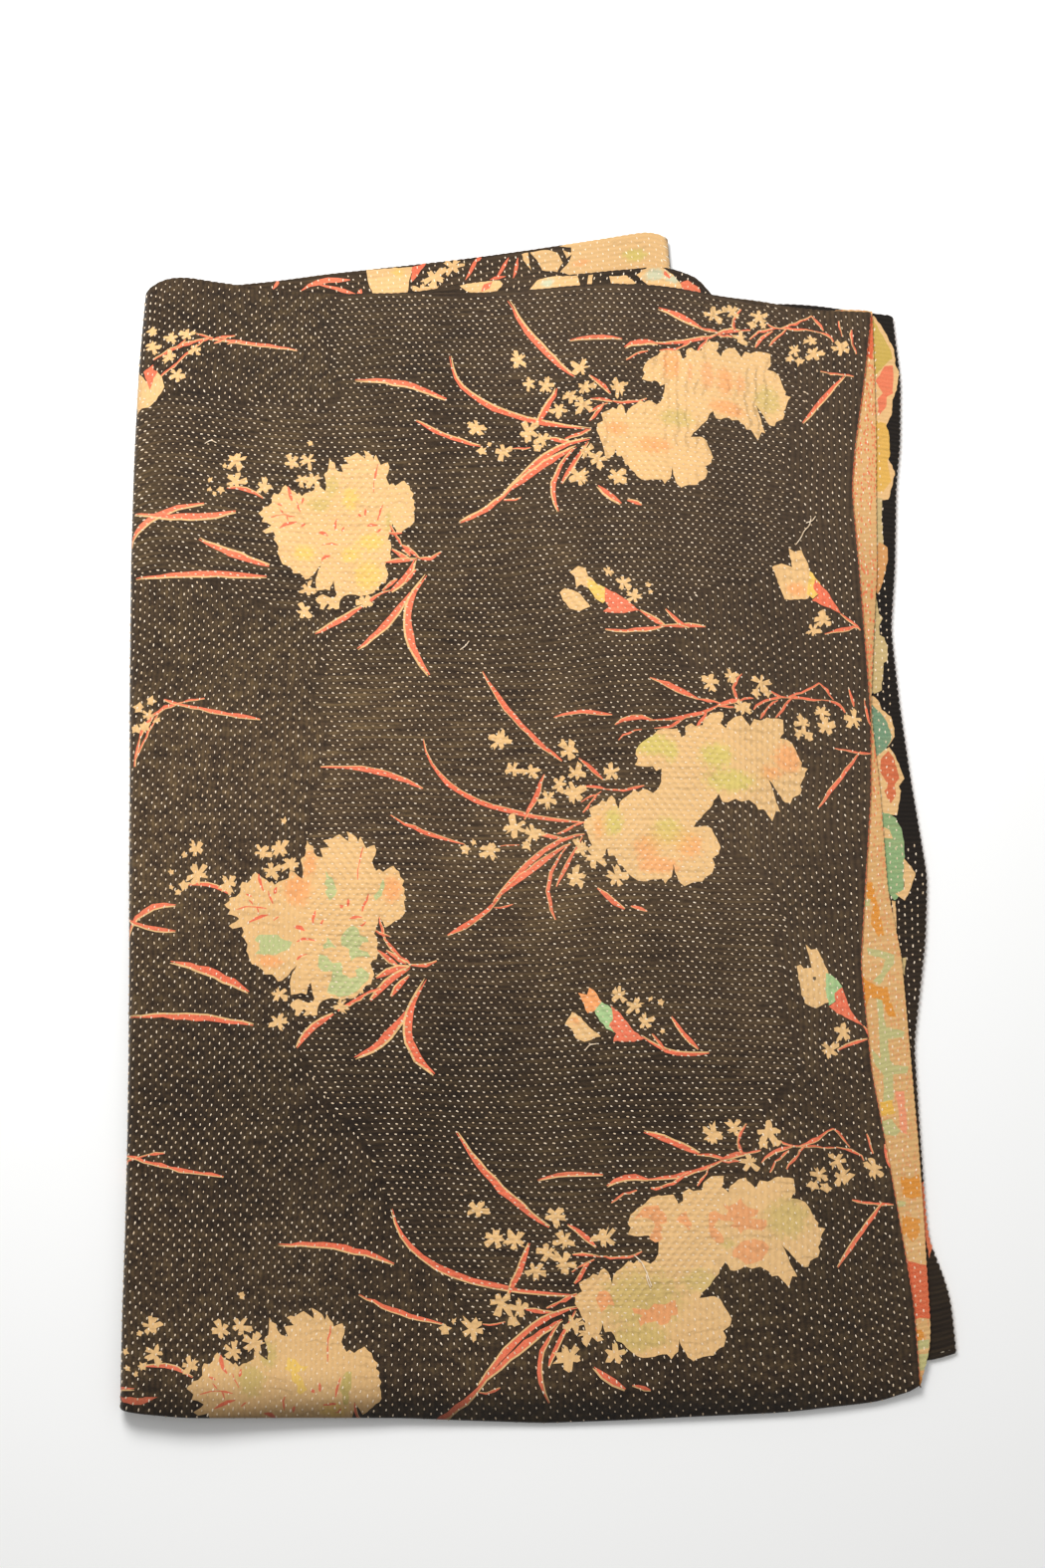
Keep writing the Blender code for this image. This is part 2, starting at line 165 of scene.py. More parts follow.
END_LINES = Lines(
    ("x", "top_first_upper", "top_first_lower", "top_second_upper", "top_second_lower", "top_inner_upper",
     "top_inner_lower", "bottom_first", "bottom_second", "bottom_inner"),
    (
        (-0.418, 0.5330, 0.5310, 0.5310, 0.5330, 0.5330, 0.5310, -0.5850, -0.5850, -0.5850),
        (-0.404, 0.5500, 0.5470, 0.5470, 0.5500, 0.5500, 0.5470, -0.5950, -0.5950, -0.5950),
        (-0.380, 0.5555, 0.5500, 0.5430, 0.5470, 0.5490, 0.5450, -0.6010, -0.6010, -0.6010),
        (-0.330, 0.5478, 0.5430, 0.5390, 0.5420, 0.5505, 0.5440, -0.6055, -0.5960, -0.5980),
        (-0.278, 0.5397, 0.5350, 0.5360, 0.5390, 0.5560, 0.5480, -0.6055, -0.5880, -0.5900),
        (-0.219, 0.5351, 0.5310, 0.5370, 0.5350, 0.5648, 0.5560, -0.6055, -0.5810, -0.5830),
        (-0.125, 0.5363, 0.5320, 0.5430, 0.5380, 0.5760, 0.5680, -0.6058, -0.5750, -0.5775),
        (-0.060, 0.5363, 0.5320, 0.5545, 0.5470, 0.5843, 0.5760, -0.6084, -0.5725, -0.5755),
        (0.007, 0.5409, 0.5360, 0.5598, 0.5530, 0.5948, 0.5870, -0.6105, -0.5710, -0.5740),
        (0.065, 0.5478, 0.5420, 0.5655, 0.5590, 0.6045, 0.5970, -0.6085, -0.5700, -0.5730),
        (0.118, 0.5464, 0.5420, 0.5712, 0.5640, 0.6140, 0.6060, -0.6062, -0.5685, -0.5715),
        (0.130, 0.5448, 0.5410, 0.5725, 0.5650, 0.6140, 0.6060, -0.6055, -0.5680, -0.5710),
        (0.142, 0.5432, 0.5400, 0.5705, 0.5635, 0.6050, 0.6000, -0.6050, -0.5675, -0.5705),
        (0.162, 0.5402, 0.5372, 0.5645, 0.5590, 0.6010, 0.5960, -0.6041, -0.5666, -0.5696),
        (0.182, 0.5374, 0.5346, 0.5605, 0.5550, 0.5960, 0.5910, -0.6032, -0.5657, -0.5687),
        (0.190, 0.5364, 0.5338, 0.5330, 0.5300, 0.5945, 0.5895, -0.6029, -0.5654, -0.5684),
        (0.212, 0.5352, 0.5326, 0.5330, 0.5300, 0.5920, 0.5870, -0.6018, -0.5642, -0.5672),
        (0.234, 0.5340, 0.5314, 0.5342, 0.5302, 0.5900, 0.5850, -0.6008, -0.5630, -0.5660),
        (0.270, 0.5262, 0.5236, 0.5348, 0.5308, 0.5860, 0.5810, -0.5968, -0.5610, -0.5643),
        (0.300, 0.5226, 0.5212, 0.5325, 0.5285, 0.5825, 0.5775, -0.5935, -0.5592, -0.5629),
        (0.322, 0.5216, 0.5270, 0.5290, 0.5250, 0.5800, 0.5750, -0.5911, -0.5580, -0.5620),
        (0.356, 0.5204, 0.5258, 0.5240, 0.5205, 0.5800, 0.5750, -0.5800, -0.5550, -0.5600),
        (0.380, 0.5180, 0.5190, 0.5212, 0.5180, 0.5800, 0.5750, -0.5740, -0.5530, -0.5600),
        (0.400, 0.5160, 0.5170, 0.5130, 0.5100, 0.5800, 0.5750, -0.5720, -0.5450, -0.5600),
    ),
)


class Swell(NamedTuple):
    """A soft rise of the loosely stacked cloth, or a trough in it."""

    x: float
    y: float
    half_length: float
    half_width: float
    slant: float
    rise: float


SWELLS = (
    Swell(-0.050, 0.440, 0.420, 0.130, 0.02, 0.0016),
    Swell(0.060, 0.100, 0.500, 0.150, -0.05, 0.0022),
    Swell(-0.120, -0.110, 0.420, 0.130, 0.04, 0.0020),
    Swell(0.120, -0.420, 0.400, 0.140, 0.06, 0.0018),
)


class Panel(Enum):
    """The runs and turns of the folded pair, from the top right hems inward."""

    FIRST = 0
    OUTER_TURN = 1
    UNDER = 2
    INNER_TURN = 3
    THIRD = 4
    LEFT_TURN = 5
    SECOND = 6


class Leaf(Enum):
    """The two leaves of the pair, which the bottom fold joins. Each is named for where it lies in the first panel."""

    NEAR = "upper"
    FAR = "lower"


class Box(NamedTuple):
    """A part of the stack that is seen from above: a leaf of a panel, and from where to where."""

    panel: Panel
    leaf: Leaf
    left: float
    right: float
    bottom: float
    top: float


class FoldedStack:
    """Carries points of the flat quilt to their places in the folded stack.

    A flat point is (u, v). On the top layer u is x, and v is y but for a slight even stretch, and v goes on past the
    bottom fold to the leaf below. Heights and radii below are in pairs of layers.
    """

    BOTTOM, TOP = -0.600, 0.560
    OUTER_RADIUS, INNER_RADIUS = 1.5, 0.5
    LEFT_AXIS, INNER_AXIS = 2, 1
    FIRST_HEIGHT, SECOND_HEIGHT, THIRD_HEIGHT, UNDER_HEIGHT = 3.5, 2.5, 1.5, 0.5
    PAST_INNER_FOLD = 2  # the pairs that end at the inner fold
    UNDER_FIRST = 3  # the pairs under the first panel
    COLUMNS = ("first", "first", "inner", "inner", "inner", "inner", "second")

    def __init__(self, sizes: StackSizes) -> None:
        """Work out the reach of the turns and the length of the bottom fold.

        Args:
            sizes: heights and turns of the folded quilt.
        """
        self.sizes = sizes
        self.shift = np.zeros(3)
        edge = sizes.layer / 2 + sizes.skin
        self.outer_reach = self.OUTER_RADIUS * sizes.pair + edge
        self.inner_reach = self.INNER_RADIUS * sizes.pair + edge
        self.fold_length = math.pi * sizes.bottom_turn
        self.far_end = 2 * self.BOTTOM - self.fold_length - self.TOP

    def level_of(self, v: Array) -> Array:
        """How far up the folded quilt a flat v lies, whichever leaf it is on."""
        beyond = np.maximum(self.BOTTOM, 2 * self.BOTTOM - self.fold_length - v)
        return np.where(v > self.BOTTOM, v, beyond)

    def axes(self, level: Array) -> tuple[Array, Array]:
        """The lines about which the left folds and the inner right fold turn."""
        left = SIDE_LINES.read("left_fold", level) + self.outer_reach
        return left, SIDE_LINES.read("inner_fold", level) - self.inner_reach

    def folds(self, level: Array) -> list[Array]:
        """Find the six lines where panels and turns meet.

        Args:
            level: places up the folded quilt.

        Returns:
            The flat u of each line at those places, from the right.
        """
        left, inner = self.axes(level)
        outer_turn = np.full_like(left, math.pi * self.OUTER_RADIUS * self.sizes.pair)
        small_turn = np.full_like(left, math.pi * self.INNER_RADIUS * self.sizes.pair)
        lines = [left]
        for width in (outer_turn, inner - left, small_turn, inner - left, small_turn):
            lines.append(lines[-1] - width)
        return lines

    def hem(self, panel: Panel, v: Array) -> Array:
        """Find the side hem that ends a panel.

        Args:
            panel: the first or the second panel.
            v: flat places along the hem.

        Returns:
            The hem's flat u at each v.
        """
        level, near = self.level_of(v), v > self.BOTTOM - self.fold_length / 2
        if panel is Panel.FIRST:
            return np.where(near, SIDE_LINES.read("first_upper", level), SIDE_LINES.read("first_lower", level))
        x = np.where(near, SIDE_LINES.read("second_lower", level), SIDE_LINES.read("second_upper", level))
        return self.folds(level)[5] - (x - self.axes(level)[0])

    def ends(self, panel: Array, near: Array, x: Array) -> tuple[Array, Array]:
        """Find the bottom fold and the top hem.

        Args:
            panel: each point's panel, as its number.
            near: whether the point is on the near leaf.
            x: where it lies across the stack.

        Returns:
            The y of the bottom fold and of the top hem for each point.
        """
        bottom, top = np.zeros_like(x), np.zeros_like(x)
        for index, name in enumerate(self.COLUMNS):
            here = panel == index
            if not here.any():
                continue
            bottom = np.where(here, END_LINES.read(f"bottom_{name}", x), bottom)
            for leaf_is_near in (True, False):
                upper = leaf_is_near is not (name == "second")
                line = END_LINES.read(f"top_{name}_{'upper' if upper else 'lower'}", x)
                top = np.where(here & (near == leaf_is_near), line, top)
        return bottom, top

    def section(self, u: Array, level: Array) -> tuple[Array, Array, Array, Array]:
        """Follow the section across the stack at flat points.

        Args:
            u: flat place across the quilt.
            level: place up the folded quilt.

        Returns:
            The panel's number, the x and height of the pair's middle, and the angle at which the near leaf faces out.
        """
        left, inner = self.axes(level)
        folds = self.folds(level)
        panel = sum((u < line).astype(int) for line in folds)
        pair, quarter = self.sizes.pair, math.pi / 2
        big, small = self.OUTER_RADIUS * pair, self.INNER_RADIUS * pair
        outer, turned = quarter + (folds[0] - u) / big, -quarter + (folds[2] - u) / small
        last = 3 * quarter - (folds[4] - u) / small
        x = np.choose(panel, [
            u, left + big * np.cos(outer), left + folds[1] - u, inner + small * np.cos(turned),
            inner - folds[3] + u, left + small * np.cos(last), left + folds[5] - u,
        ])
        flat, left_axis = np.zeros_like(u), self.LEFT_AXIS * pair
        middle = np.choose(panel, [
            flat + self.FIRST_HEIGHT * pair, left_axis + big * np.sin(outer), flat + self.UNDER_HEIGHT * pair,
            self.INNER_AXIS * pair + small * np.sin(turned), flat + self.THIRD_HEIGHT * pair,
            left_axis + small * np.sin(last), flat + self.SECOND_HEIGHT * pair,
        ])
        facing = np.choose(panel, [
            flat + quarter, outer, flat - quarter, turned, flat + quarter, last + math.pi, flat - quarter,
        ])
        return panel, x, middle, facing

    def swell(self, x: Array, y: Array) -> Array:
        """Add up the soft swells, the listed troughs and the small uneven puckers.

        Args:
            x: places across the stack.
            y: places up it.

        Returns:
            The rise at each place.
        """
        rise = PUCKERS.height(x, y)
        for row in (*SWELLS, *TROUGHS):
            along = (x - row.x) / row.half_length
            across = (y - row.y - row.slant * (x - row.x)) / row.half_width
            rise = rise + row.rise * np.maximum(0, 1 - along**2 - across**2) ** 2
        return rise

    def drop(self, panel: Array, x: Array, y: Array, past_fold: Array) -> Array:
        """Find how far the first and second panels lie below their full height.

        Args:
            panel: each point's panel, as its number.
            x: where it lies across the stack.
            y: where it lies up the stack.
            past_fold: how far it lies to the right of the inner fold's axis.

        Returns:
            The drop at each point, 0 on the panels that lie flat.
        """
        sizes = self.sizes
        first, second = panel <= Panel.OUTER_TURN.value, panel == Panel.SECOND.value
        width = np.where(first, sizes.first_panel_step, sizes.second_panel_step)
        stepped = self.PAST_INNER_FOLD * sizes.pair * soft_step((past_fold - sizes.step_start) / width)
        overhang = END_LINES.read("bottom_inner", x) - y
        beneath = self.UNDER_FIRST * sizes.pair - stepped
        sagged = beneath * soft_step((overhang - sizes.sag_start) / sizes.sag_width)
        return np.where(first, stepped + sagged, np.where(second, stepped, 0.0))

    def place(self, flat: Array, offset: Array | float) -> Array:
        """Carry flat points to their places in the folded stack.

        Args:
            flat: (N, 2) array of u and v on the unfolded quilt.
            offset: distance from the quilt's middle, positive towards the front cloth.

        Returns:
            (N, 3) array of places, in the row frame.
        """
        u, v = flat[:, 0], flat[:, 1]
        level = self.level_of(v)
        angle = np.clip((self.BOTTOM - v) / self.sizes.bottom_turn, 0, math.pi)
        reach = self.sizes.layer / 2 + offset
        past_middle, bulge = reach * np.cos(angle), -reach * np.sin(angle)
        panel, x_middle, middle, facing = self.section(u, level)
        x = x_middle + past_middle * np.cos(facing)
        z = middle + past_middle * np.sin(facing)
        bottom, top = self.ends(panel, angle < math.pi / 2, x)
        share = (level - self.BOTTOM) / (self.TOP - self.BOTTOM)
        y = bottom + share * (top - bottom) + bulge
        z = z - self.drop(panel, x, y, x - self.axes(level)[1]) - (self.sizes.layer / 2 - self.sizes.skin)
        z = z * (1 + self.swell(x, y) * z / self.sizes.height**2)
        return np.stack([x, y, z], axis=1) + self.shift

    def flat_of(self, points: Array, panel: Panel = Panel.FIRST, leaf: Leaf = Leaf.NEAR) -> Array:
        """Find the flat places of points that are seen from above on one leaf of a panel.

        Args:
            points: (N, 2) array of x and y in the folded stack.
            panel: the first, second or third panel.
            leaf: which of its two leaves.

        Returns:
            (N, 2) array of u and v.
        """
        x, y = points[:, 0], points[:, 1]
        bottom, top = self.ends(np.full(len(x), panel.value), np.full(len(x), leaf is Leaf.NEAR), x)
        level = self.BOTTOM + (y - bottom) / (top - bottom) * (self.TOP - self.BOTTOM)
        left, inner = self.axes(level)
        folds = self.folds(level)
        u = {Panel.FIRST: x, Panel.THIRD: x - inner + folds[3], Panel.SECOND: left + folds[5] - x}[panel]
        v = level if leaf is Leaf.NEAR else 2 * self.BOTTOM - self.fold_length - level
        return np.stack([u, v], axis=1)


def soft_step(value: Array) -> Array:
    """0 below 0, 1 above 1, and a soft S between them."""
    value = np.clip(value, 0, 1)
    return value * value * (3 - 2 * value)


def unit(vectors: Array) -> Array:
    """Rows of an array, each at length 1."""
    return vectors / np.linalg.norm(vectors, axis=1)[:, None]


@dataclass(frozen=True)
class Waves:
    """A sum of a few fixed waves in two directions, for what is uneven but smooth."""

    count: int
    shortest: float
    longest: float
    size: float
    seed: int

    def terms(self) -> Array:
        """Draw the waves.

        Returns:
            Rows of wave numbers along x and y, phase and strength.
        """
        draw = np.random.default_rng(self.seed)
        length = np.exp(draw.uniform(math.log(self.shortest), math.log(self.longest), self.count))
        heading, phase = draw.uniform(0, math.pi, self.count), draw.uniform(0, TURN, self.count)
        number = TURN / length
        strength = self.size / math.sqrt(self.count) * np.sqrt(length / self.longest)
        return np.stack([number * np.cos(heading), number * np.sin(heading), phase, strength], axis=1)

    def height(self, x: Array, y: Array) -> Array:
        """Add up the waves.

        Args:
            x: first coordinate of each place.
            y: second coordinate of each place.

        Returns:
            The value at each place, about 0 in the mean.
        """
        value = np.zeros_like(x)
        for along_x, along_y, phase, strength in self.terms():
            value = value + strength * np.sin(along_x * x + along_y * y + phase)
        return value


TROUGHS = (
    Swell(-0.290, 0.480, 0.170, 0.020, -0.20, -0.0012),
    Swell(-0.150, -0.330, 0.200, 0.022, -0.80, -0.0012),
    Swell(0.200, 0.160, 0.180, 0.020, 0.35, -0.0010),
    Swell(0.190, -0.290, 0.120, 0.018, 0.90, -0.0010),
)

PUCKERS = Waves(count=26, shortest=0.030, longest=0.110, size=0.0007, seed=SEED)


# === Rows of running stitches ===

# Inside this line the rows run across the quilt; outside it they follow its sides, up the quilt.
CROSS_ROWS = np.array([
    (-0.220, 0.575), (0.277, 0.575), (0.257, 0.242), (0.133, 0.206), (0.142, 0.132), (0.192, 0.091), (0.179, -0.044),
    (0.227, -0.093), (0.252, -0.261), (0.191, -0.357), (0.150, -0.488), (-0.057, -0.497), (-0.152, -0.395),
    (-0.232, -0.252), (-0.212, 0.195), (-0.440, 0.238), (-0.440, 0.426), (-0.218, 0.437),
])


def distance_inside(points: Array, corners: Array) -> Array:
    """Measure how far points lie inside a polygon.

    Args:
        points: (N, 2) array.
        corners: the polygon's corners, in order.

    Returns:
        Each point's distance from the polygon's edge, negative outside it.
    """
    x, y = points[:, 0], points[:, 1]
    inside = np.zeros(len(points), bool)
    nearest = np.full(len(points), np.inf)
    for (x0, y0), (x1, y1) in zip(corners, np.roll(corners, -1, axis=0)):
        run = (x1 - x0, y1 - y0)
        share = np.clip(((x - x0) * run[0] + (y - y0) * run[1]) / (run[0] ** 2 + run[1] ** 2), 0, 1)
        nearest = np.minimum(nearest, np.hypot(x - x0 - share * run[0], y - y0 - share * run[1]))
        if y0 != y1:
            inside ^= ((y0 > y) != (y1 > y)) & (x < x0 + (y - y0) * run[0] / run[1])
    return np.where(inside, nearest, -nearest)


@dataclass(frozen=True)
class StitchRows:
    """Where the running stitches lie on the flat quilt."""

    row_pitch: float = 0.0052
    stitch_pitch: float = 0.0078
    side_row_pitch: float = 0.0060
    side_stitch_pitch: float = 0.0092
    stagger: float = 0.47
    blend: float = 0.008
    ripple: float = 0.00022
    left_from: float = -0.15  # the side rows are closer together from here to the left
    left_share: float = 0.84
    spare_rows: int = 2
    settling: int = 3  # rounds in which a point finds its drift
    border: Waves = Waves(count=12, shortest=0.030, longest=0.160, size=0.0130, seed=SEED + 8)
    drift: Waves = Waves(count=7, shortest=0.14, longest=0.60, size=0.0042, seed=SEED + 1)
    side_drift: Waves = Waves(count=7, shortest=0.10, longest=0.40, size=0.0040, seed=SEED + 2)

    def stagger_of(self, row: Array) -> Array:
        """How far a row's stitches are shifted along it, as a share of their pitch."""
        return np.mod(row * self.stagger, 1.0)

    def side_row(self, u: Array) -> Array:
        """Number of the side row at u; the rows are closer together at the left."""
        past = np.minimum(u - self.left_from, 0)
        return (u + past * (1 / self.left_share - 1)) / self.side_row_pitch

    def side_place(self, row: Array) -> Array:
        """Place u of a side row."""
        even = row * self.side_row_pitch
        return even + np.minimum(even - self.left_from, 0) * (self.left_share - 1)

    def counts(self, u: Array, v: Array) -> Array:
        """Count rows and stitches.

        Args:
            u: flat places across the quilt.
            v: flat places along it.

        Returns:
            (N, 4) array of row number and place along the row, for the cross rows and then for the side rows.
        """
        side = self.side_row(u - self.side_drift.height(u, v))
        across = (v - self.drift.height(u, v)) / self.row_pitch
        return np.stack([across, u / self.stitch_pitch, side, v / self.side_stitch_pitch], axis=1)

    def inside_cross(self, flat: Array) -> Array:
        """How far inside the cross rows' uneven border flat points lie."""
        return distance_inside(flat[:, :2], CROSS_ROWS) + self.border.height(flat[:, 0], flat[:, 1])

    def cross_share(self, u: Array, v: Array) -> Array:
        """1 where the rows run across the quilt, 0 where they run up its sides, and soft between."""
        return soft_step(0.5 + self.inside_cross(np.stack([u, v], axis=1)) / self.blend / 2)

    def relief(self, u: Array, v: Array) -> Array:
        """Height of the cloth between the rows that hold it down.

        Args:
            u: flat places across the quilt.
            v: flat places along it.

        Returns:
            The height at each place, lowest on the rows.
        """
        counts, share = self.counts(u, v), self.cross_share(u, v)
        across, side = -np.cos(TURN * counts[:, 0]), -np.cos(TURN * counts[:, 2])
        return self.ripple * (share * across + (1 - share) * side)

    def row_points(self, low: Pair, high: Pair, cross: bool, start: float = 0, step: float = 1,
                   along: float = 1) -> Array:
        """Lay points along every row of one kind within a flat box.

        Args:
            low: lowest u and v.
            high: highest u and v.
            cross: whether these are the cross rows.
            start: first row number past a whole one, such as 0 for the rows themselves.
            step: from one line of points to the next, in rows.
            along: from one point to the next along a row, as a share of the stitches' pitch.

        Returns:
            (N, 2) array of u and v.
        """
        pitch, run = (self.row_pitch, self.stitch_pitch) if cross else (self.side_row_pitch, self.side_stitch_pitch)
        over, side = (1, 0) if cross else (0, 1)
        first = math.floor(low[over] / pitch / self.left_share) - self.spare_rows
        rows = np.arange(first + start, math.ceil(high[over] / pitch) + self.spare_rows, step)
        places = np.arange(math.floor(low[side] / run) - 1, math.ceil(high[side] / run) + 1, along)
        row, place = (values.ravel() for values in np.meshgrid(rows, places, indexing="ij"))
        place = place - self.stagger_of(np.floor(row))
        drift = self.drift if cross else self.side_drift
        flat = np.zeros((len(row), 2))
        even = row * pitch if cross else self.side_place(row)
        flat[:, side], flat[:, over] = place * run, even
        for _ in range(self.settling):
            flat[:, over] = even + drift.height(flat[:, 0], flat[:, 1])
        return flat[np.all((flat > low) & (flat < high), axis=1)]


ROWS = StitchRows()


# === The print ===


class Ink(Enum):
    """Colours of the two prints, as they look in plain light."""

    CREAM = (233, 186, 125)
    CORAL = (236, 104, 72)
    PEACH = (248, 158, 92)
    APRICOT = (236, 158, 100)
    YELLOW = (242, 196, 92)
    LEAF = (200, 176, 98)
    LIME = (208, 196, 92)
    MUSTARD = (196, 166, 60)
    GREEN = (160, 198, 136)
    GRASS = (112, 168, 114)
    TEAL = (52, 138, 112)
    FERN = (188, 194, 132)
    MIST = (186, 212, 186)
    OLIVE = (184, 178, 118)
    STONE = (196, 172, 116)
    OCHRE = (226, 172, 62)
    TAN = (208, 138, 70)
    ORANGE = (216, 134, 30)
    BLUSH = (232, 140, 102)
    BRICK = (210, 74, 30)
    SOOT = (34, 26, 22)

    @property
    def linear(self) -> Colour:
        """The colour as the renderer counts it."""
        return linear(self.value)


def linear(colour: tuple[int, int, int]) -> Colour:
    """Turn a colour in steps of 255 into a linear one."""
    shares = [value / 255 for value in colour]
    return tuple(s / 12.92 if s <= 0.04045 else ((s + 0.055) / 1.055) ** 2.4 for s in shares)


class Shape(NamedTuple):
    """A filled outline of the print on the flat quilt."""

    outline: Array
    ink: Ink


class Wash(NamedTuple):
    """A soft patch of a second colour on the petals."""

    x: float
    y: float
    half_x: float
    half_y: float
    ink: Ink


Spot = tuple[Panel, Leaf]
TOP_LAYER = (Panel.FIRST, Leaf.NEAR)
BACK_STRIP = (Panel.FIRST, Leaf.FAR)
UPPER_STRIP = (Panel.THIRD, Leaf.NEAR)
SIDE_STRIP = (Panel.SECOND, Leaf.FAR)


class Placing(NamedTuple):
    """Where a spray lies, in metres, where its own x and y point there, and how wide its leaves' pale edges are."""

    x: float = 0.0
    y: float = 0.0
    along_x: Pair = (1.0, 0.0)
    along_y: Pair = (0.0, 1.0)
    edge: float = 0.28

    def put(self, points: Iterable) -> Array:
        """Carry points from a spray's own millimetres to the quilt as it lies folded."""
        return np.array((self.x, self.y)) + MM * np.array(points, float) @ np.array((self.along_x, self.along_y))


# Outlines of the two flowers, in millimetres from the middle of their sprays.
RIGHT_FLOWER = (
    (Ink.CREAM, (48, 55, 51, 61, 49, 65, 52, 73, 58, 78, 65, 82, 70, 87, 76, 88, 81, 87, 88, 87, 91, 78, 95, 80, 95,
     88, 101, 91, 104, 88, 111, 88, 113, 95, 116, 97, 120, 100, 130, 99, 129, 92, 127, 89, 132, 83, 134, 89, 141, 94,
     147, 95, 150, 90, 154, 84, 158, 91, 164, 89, 170, 92, 178, 91, 185, 89, 185, 82, 185, 76, 181, 71, 188, 69, 192,
     66, 195, 59, 196, 55, 198, 49, 200, 46, 199, 42, 205, 40, 202, 36, 200, 30, 197, 24, 198, 20, 196, 15, 189, 12,
     187, 7, 182, 8, 177, 16, 173, 23, 168, 31, 172, 18, 174, 8, 177, -1, 173, 0, 171, -5, 169, -10, 165, -3, 162, 2,
     157, 2, 155, 7, 149, 12, 142, 11, 137, 14, 130, 11, 125, 12, 122, 20, 117, 14, 116, 10, 110, 4, 105, -2, 101, -5,
     98, -10, 104, -10, 110, -10, 114, -13, 116, -19, 119, -26, 121, -32, 119, -38, 113, -42, 115, -48, 112, -56, 106,
     -59, 103, -63, 95, -63, 87, -66, 83, -62, 81, -56, 79, -51, 78, -44, 76, -56, 73, -58, 70, -62, 67, -57, 60, -57,
     51, -58, 46, -57, 41, -53, 36, -47, 33, -42, 29, -40, 28, -35, 26, -31, 21, -31, 20, -23, 18, -29, 13, -34, 10,
     -34, 8, -26, 6, -18, 4, -14, 3, -9, 0, -2, 1, 5, 7, 8, 5, 16, 9, 18, 14, 20, 17, 23, 21, 21, 23, 25, 26, 27, 29,
     23, 31, 12, 33, 20, 36, 23, 42, 27, 46, 31, 50, 28, 55, 31, 59, 29, 63, 26, 67, 29, 70, 34, 71, 40, 72, 49, 67,
     47, 64, 52, 58, 52, 53, 53)),
)
LEFT_FLOWER = (
    (Ink.CREAM, (-89, 14, -84, 18, -84, 21, -78, 22, -74, 26, -74, 33, -72, 37, -67, 36, -64, 39, -62, 44, -59, 47,
     -56, 44, -52, 41, -48, 39, -45, 36, -43, 38, -40, 34, -36, 37, -30, 39, -26, 41, -25, 48, -21, 47, -17, 43, -13,
     40, -12, 46, -13, 53, -15, 59, -14, 61, -11, 63, -10, 69, -9, 79, -7, 75, -3, 73, -2, 67, 1, 63, 7, 62, 5, 68, 4,
     71, 13, 72, 7, 79, 14, 80, 19, 83, 23, 85, 27, 82, 32, 78, 32, 83, 30, 88, 36, 85, 40, 82, 42, 77, 44, 83, 47,
     77, 50, 71, 54, 73, 58, 74, 60, 69, 59, 64, 56, 57, 58, 52, 60, 48, 63, 50, 67, 47, 71, 50, 77, 53, 80, 49, 83,
     47, 84, 42, 88, 38, 86, 33, 89, 30, 88, 25, 90, 21, 88, 17, 89, 12, 89, 6, 87, 3, 80, -2, 75, -6, 70, -9, 68, -4,
     66, -1, 64, 3, 63, -4, 61, -9, 59, -15, 62, -18, 63, -24, 62, -29, 63, -35, 62, -40, 58, -41, 56, -45, 58, -50,
     60, -55, 58, -60, 57, -65, 52, -66, 49, -70, 50, -74, 46, -73, 43, -77, 37, -79, 30, -80, 23, -79, 15, -79, 10,
     -81, 7, -84, 5, -90, 5, -95, 1, -96, -2, -94, -6, -96, -9, -95, -6, -91, -8, -89, -10, -91, -13, -96, -17, -95,
     -16, -90, -20, -88, -22, -85, -19, -81, -14, -79, -9, -81, -4, -83, 0, -82, 2, -79, 0, -74, -1, -68, -2, -63, -5,
     -70, -6, -75, -11, -73, -14, -74, -21, -75, -22, -68, -22, -60, -20, -53, -16, -46, -21, -51, -25, -57, -30, -61,
     -34, -62, -37, -58, -40, -55, -43, -55, -48, -55, -49, -51, -54, -47, -60, -45, -63, -39, -66, -32, -65, -25,
     -68, -20, -71, -17, -69, -13, -71, -8, -80, -10, -84, -7, -77, -3, -74, 0, -79, 3, -85, 4, -83, 9)),
)

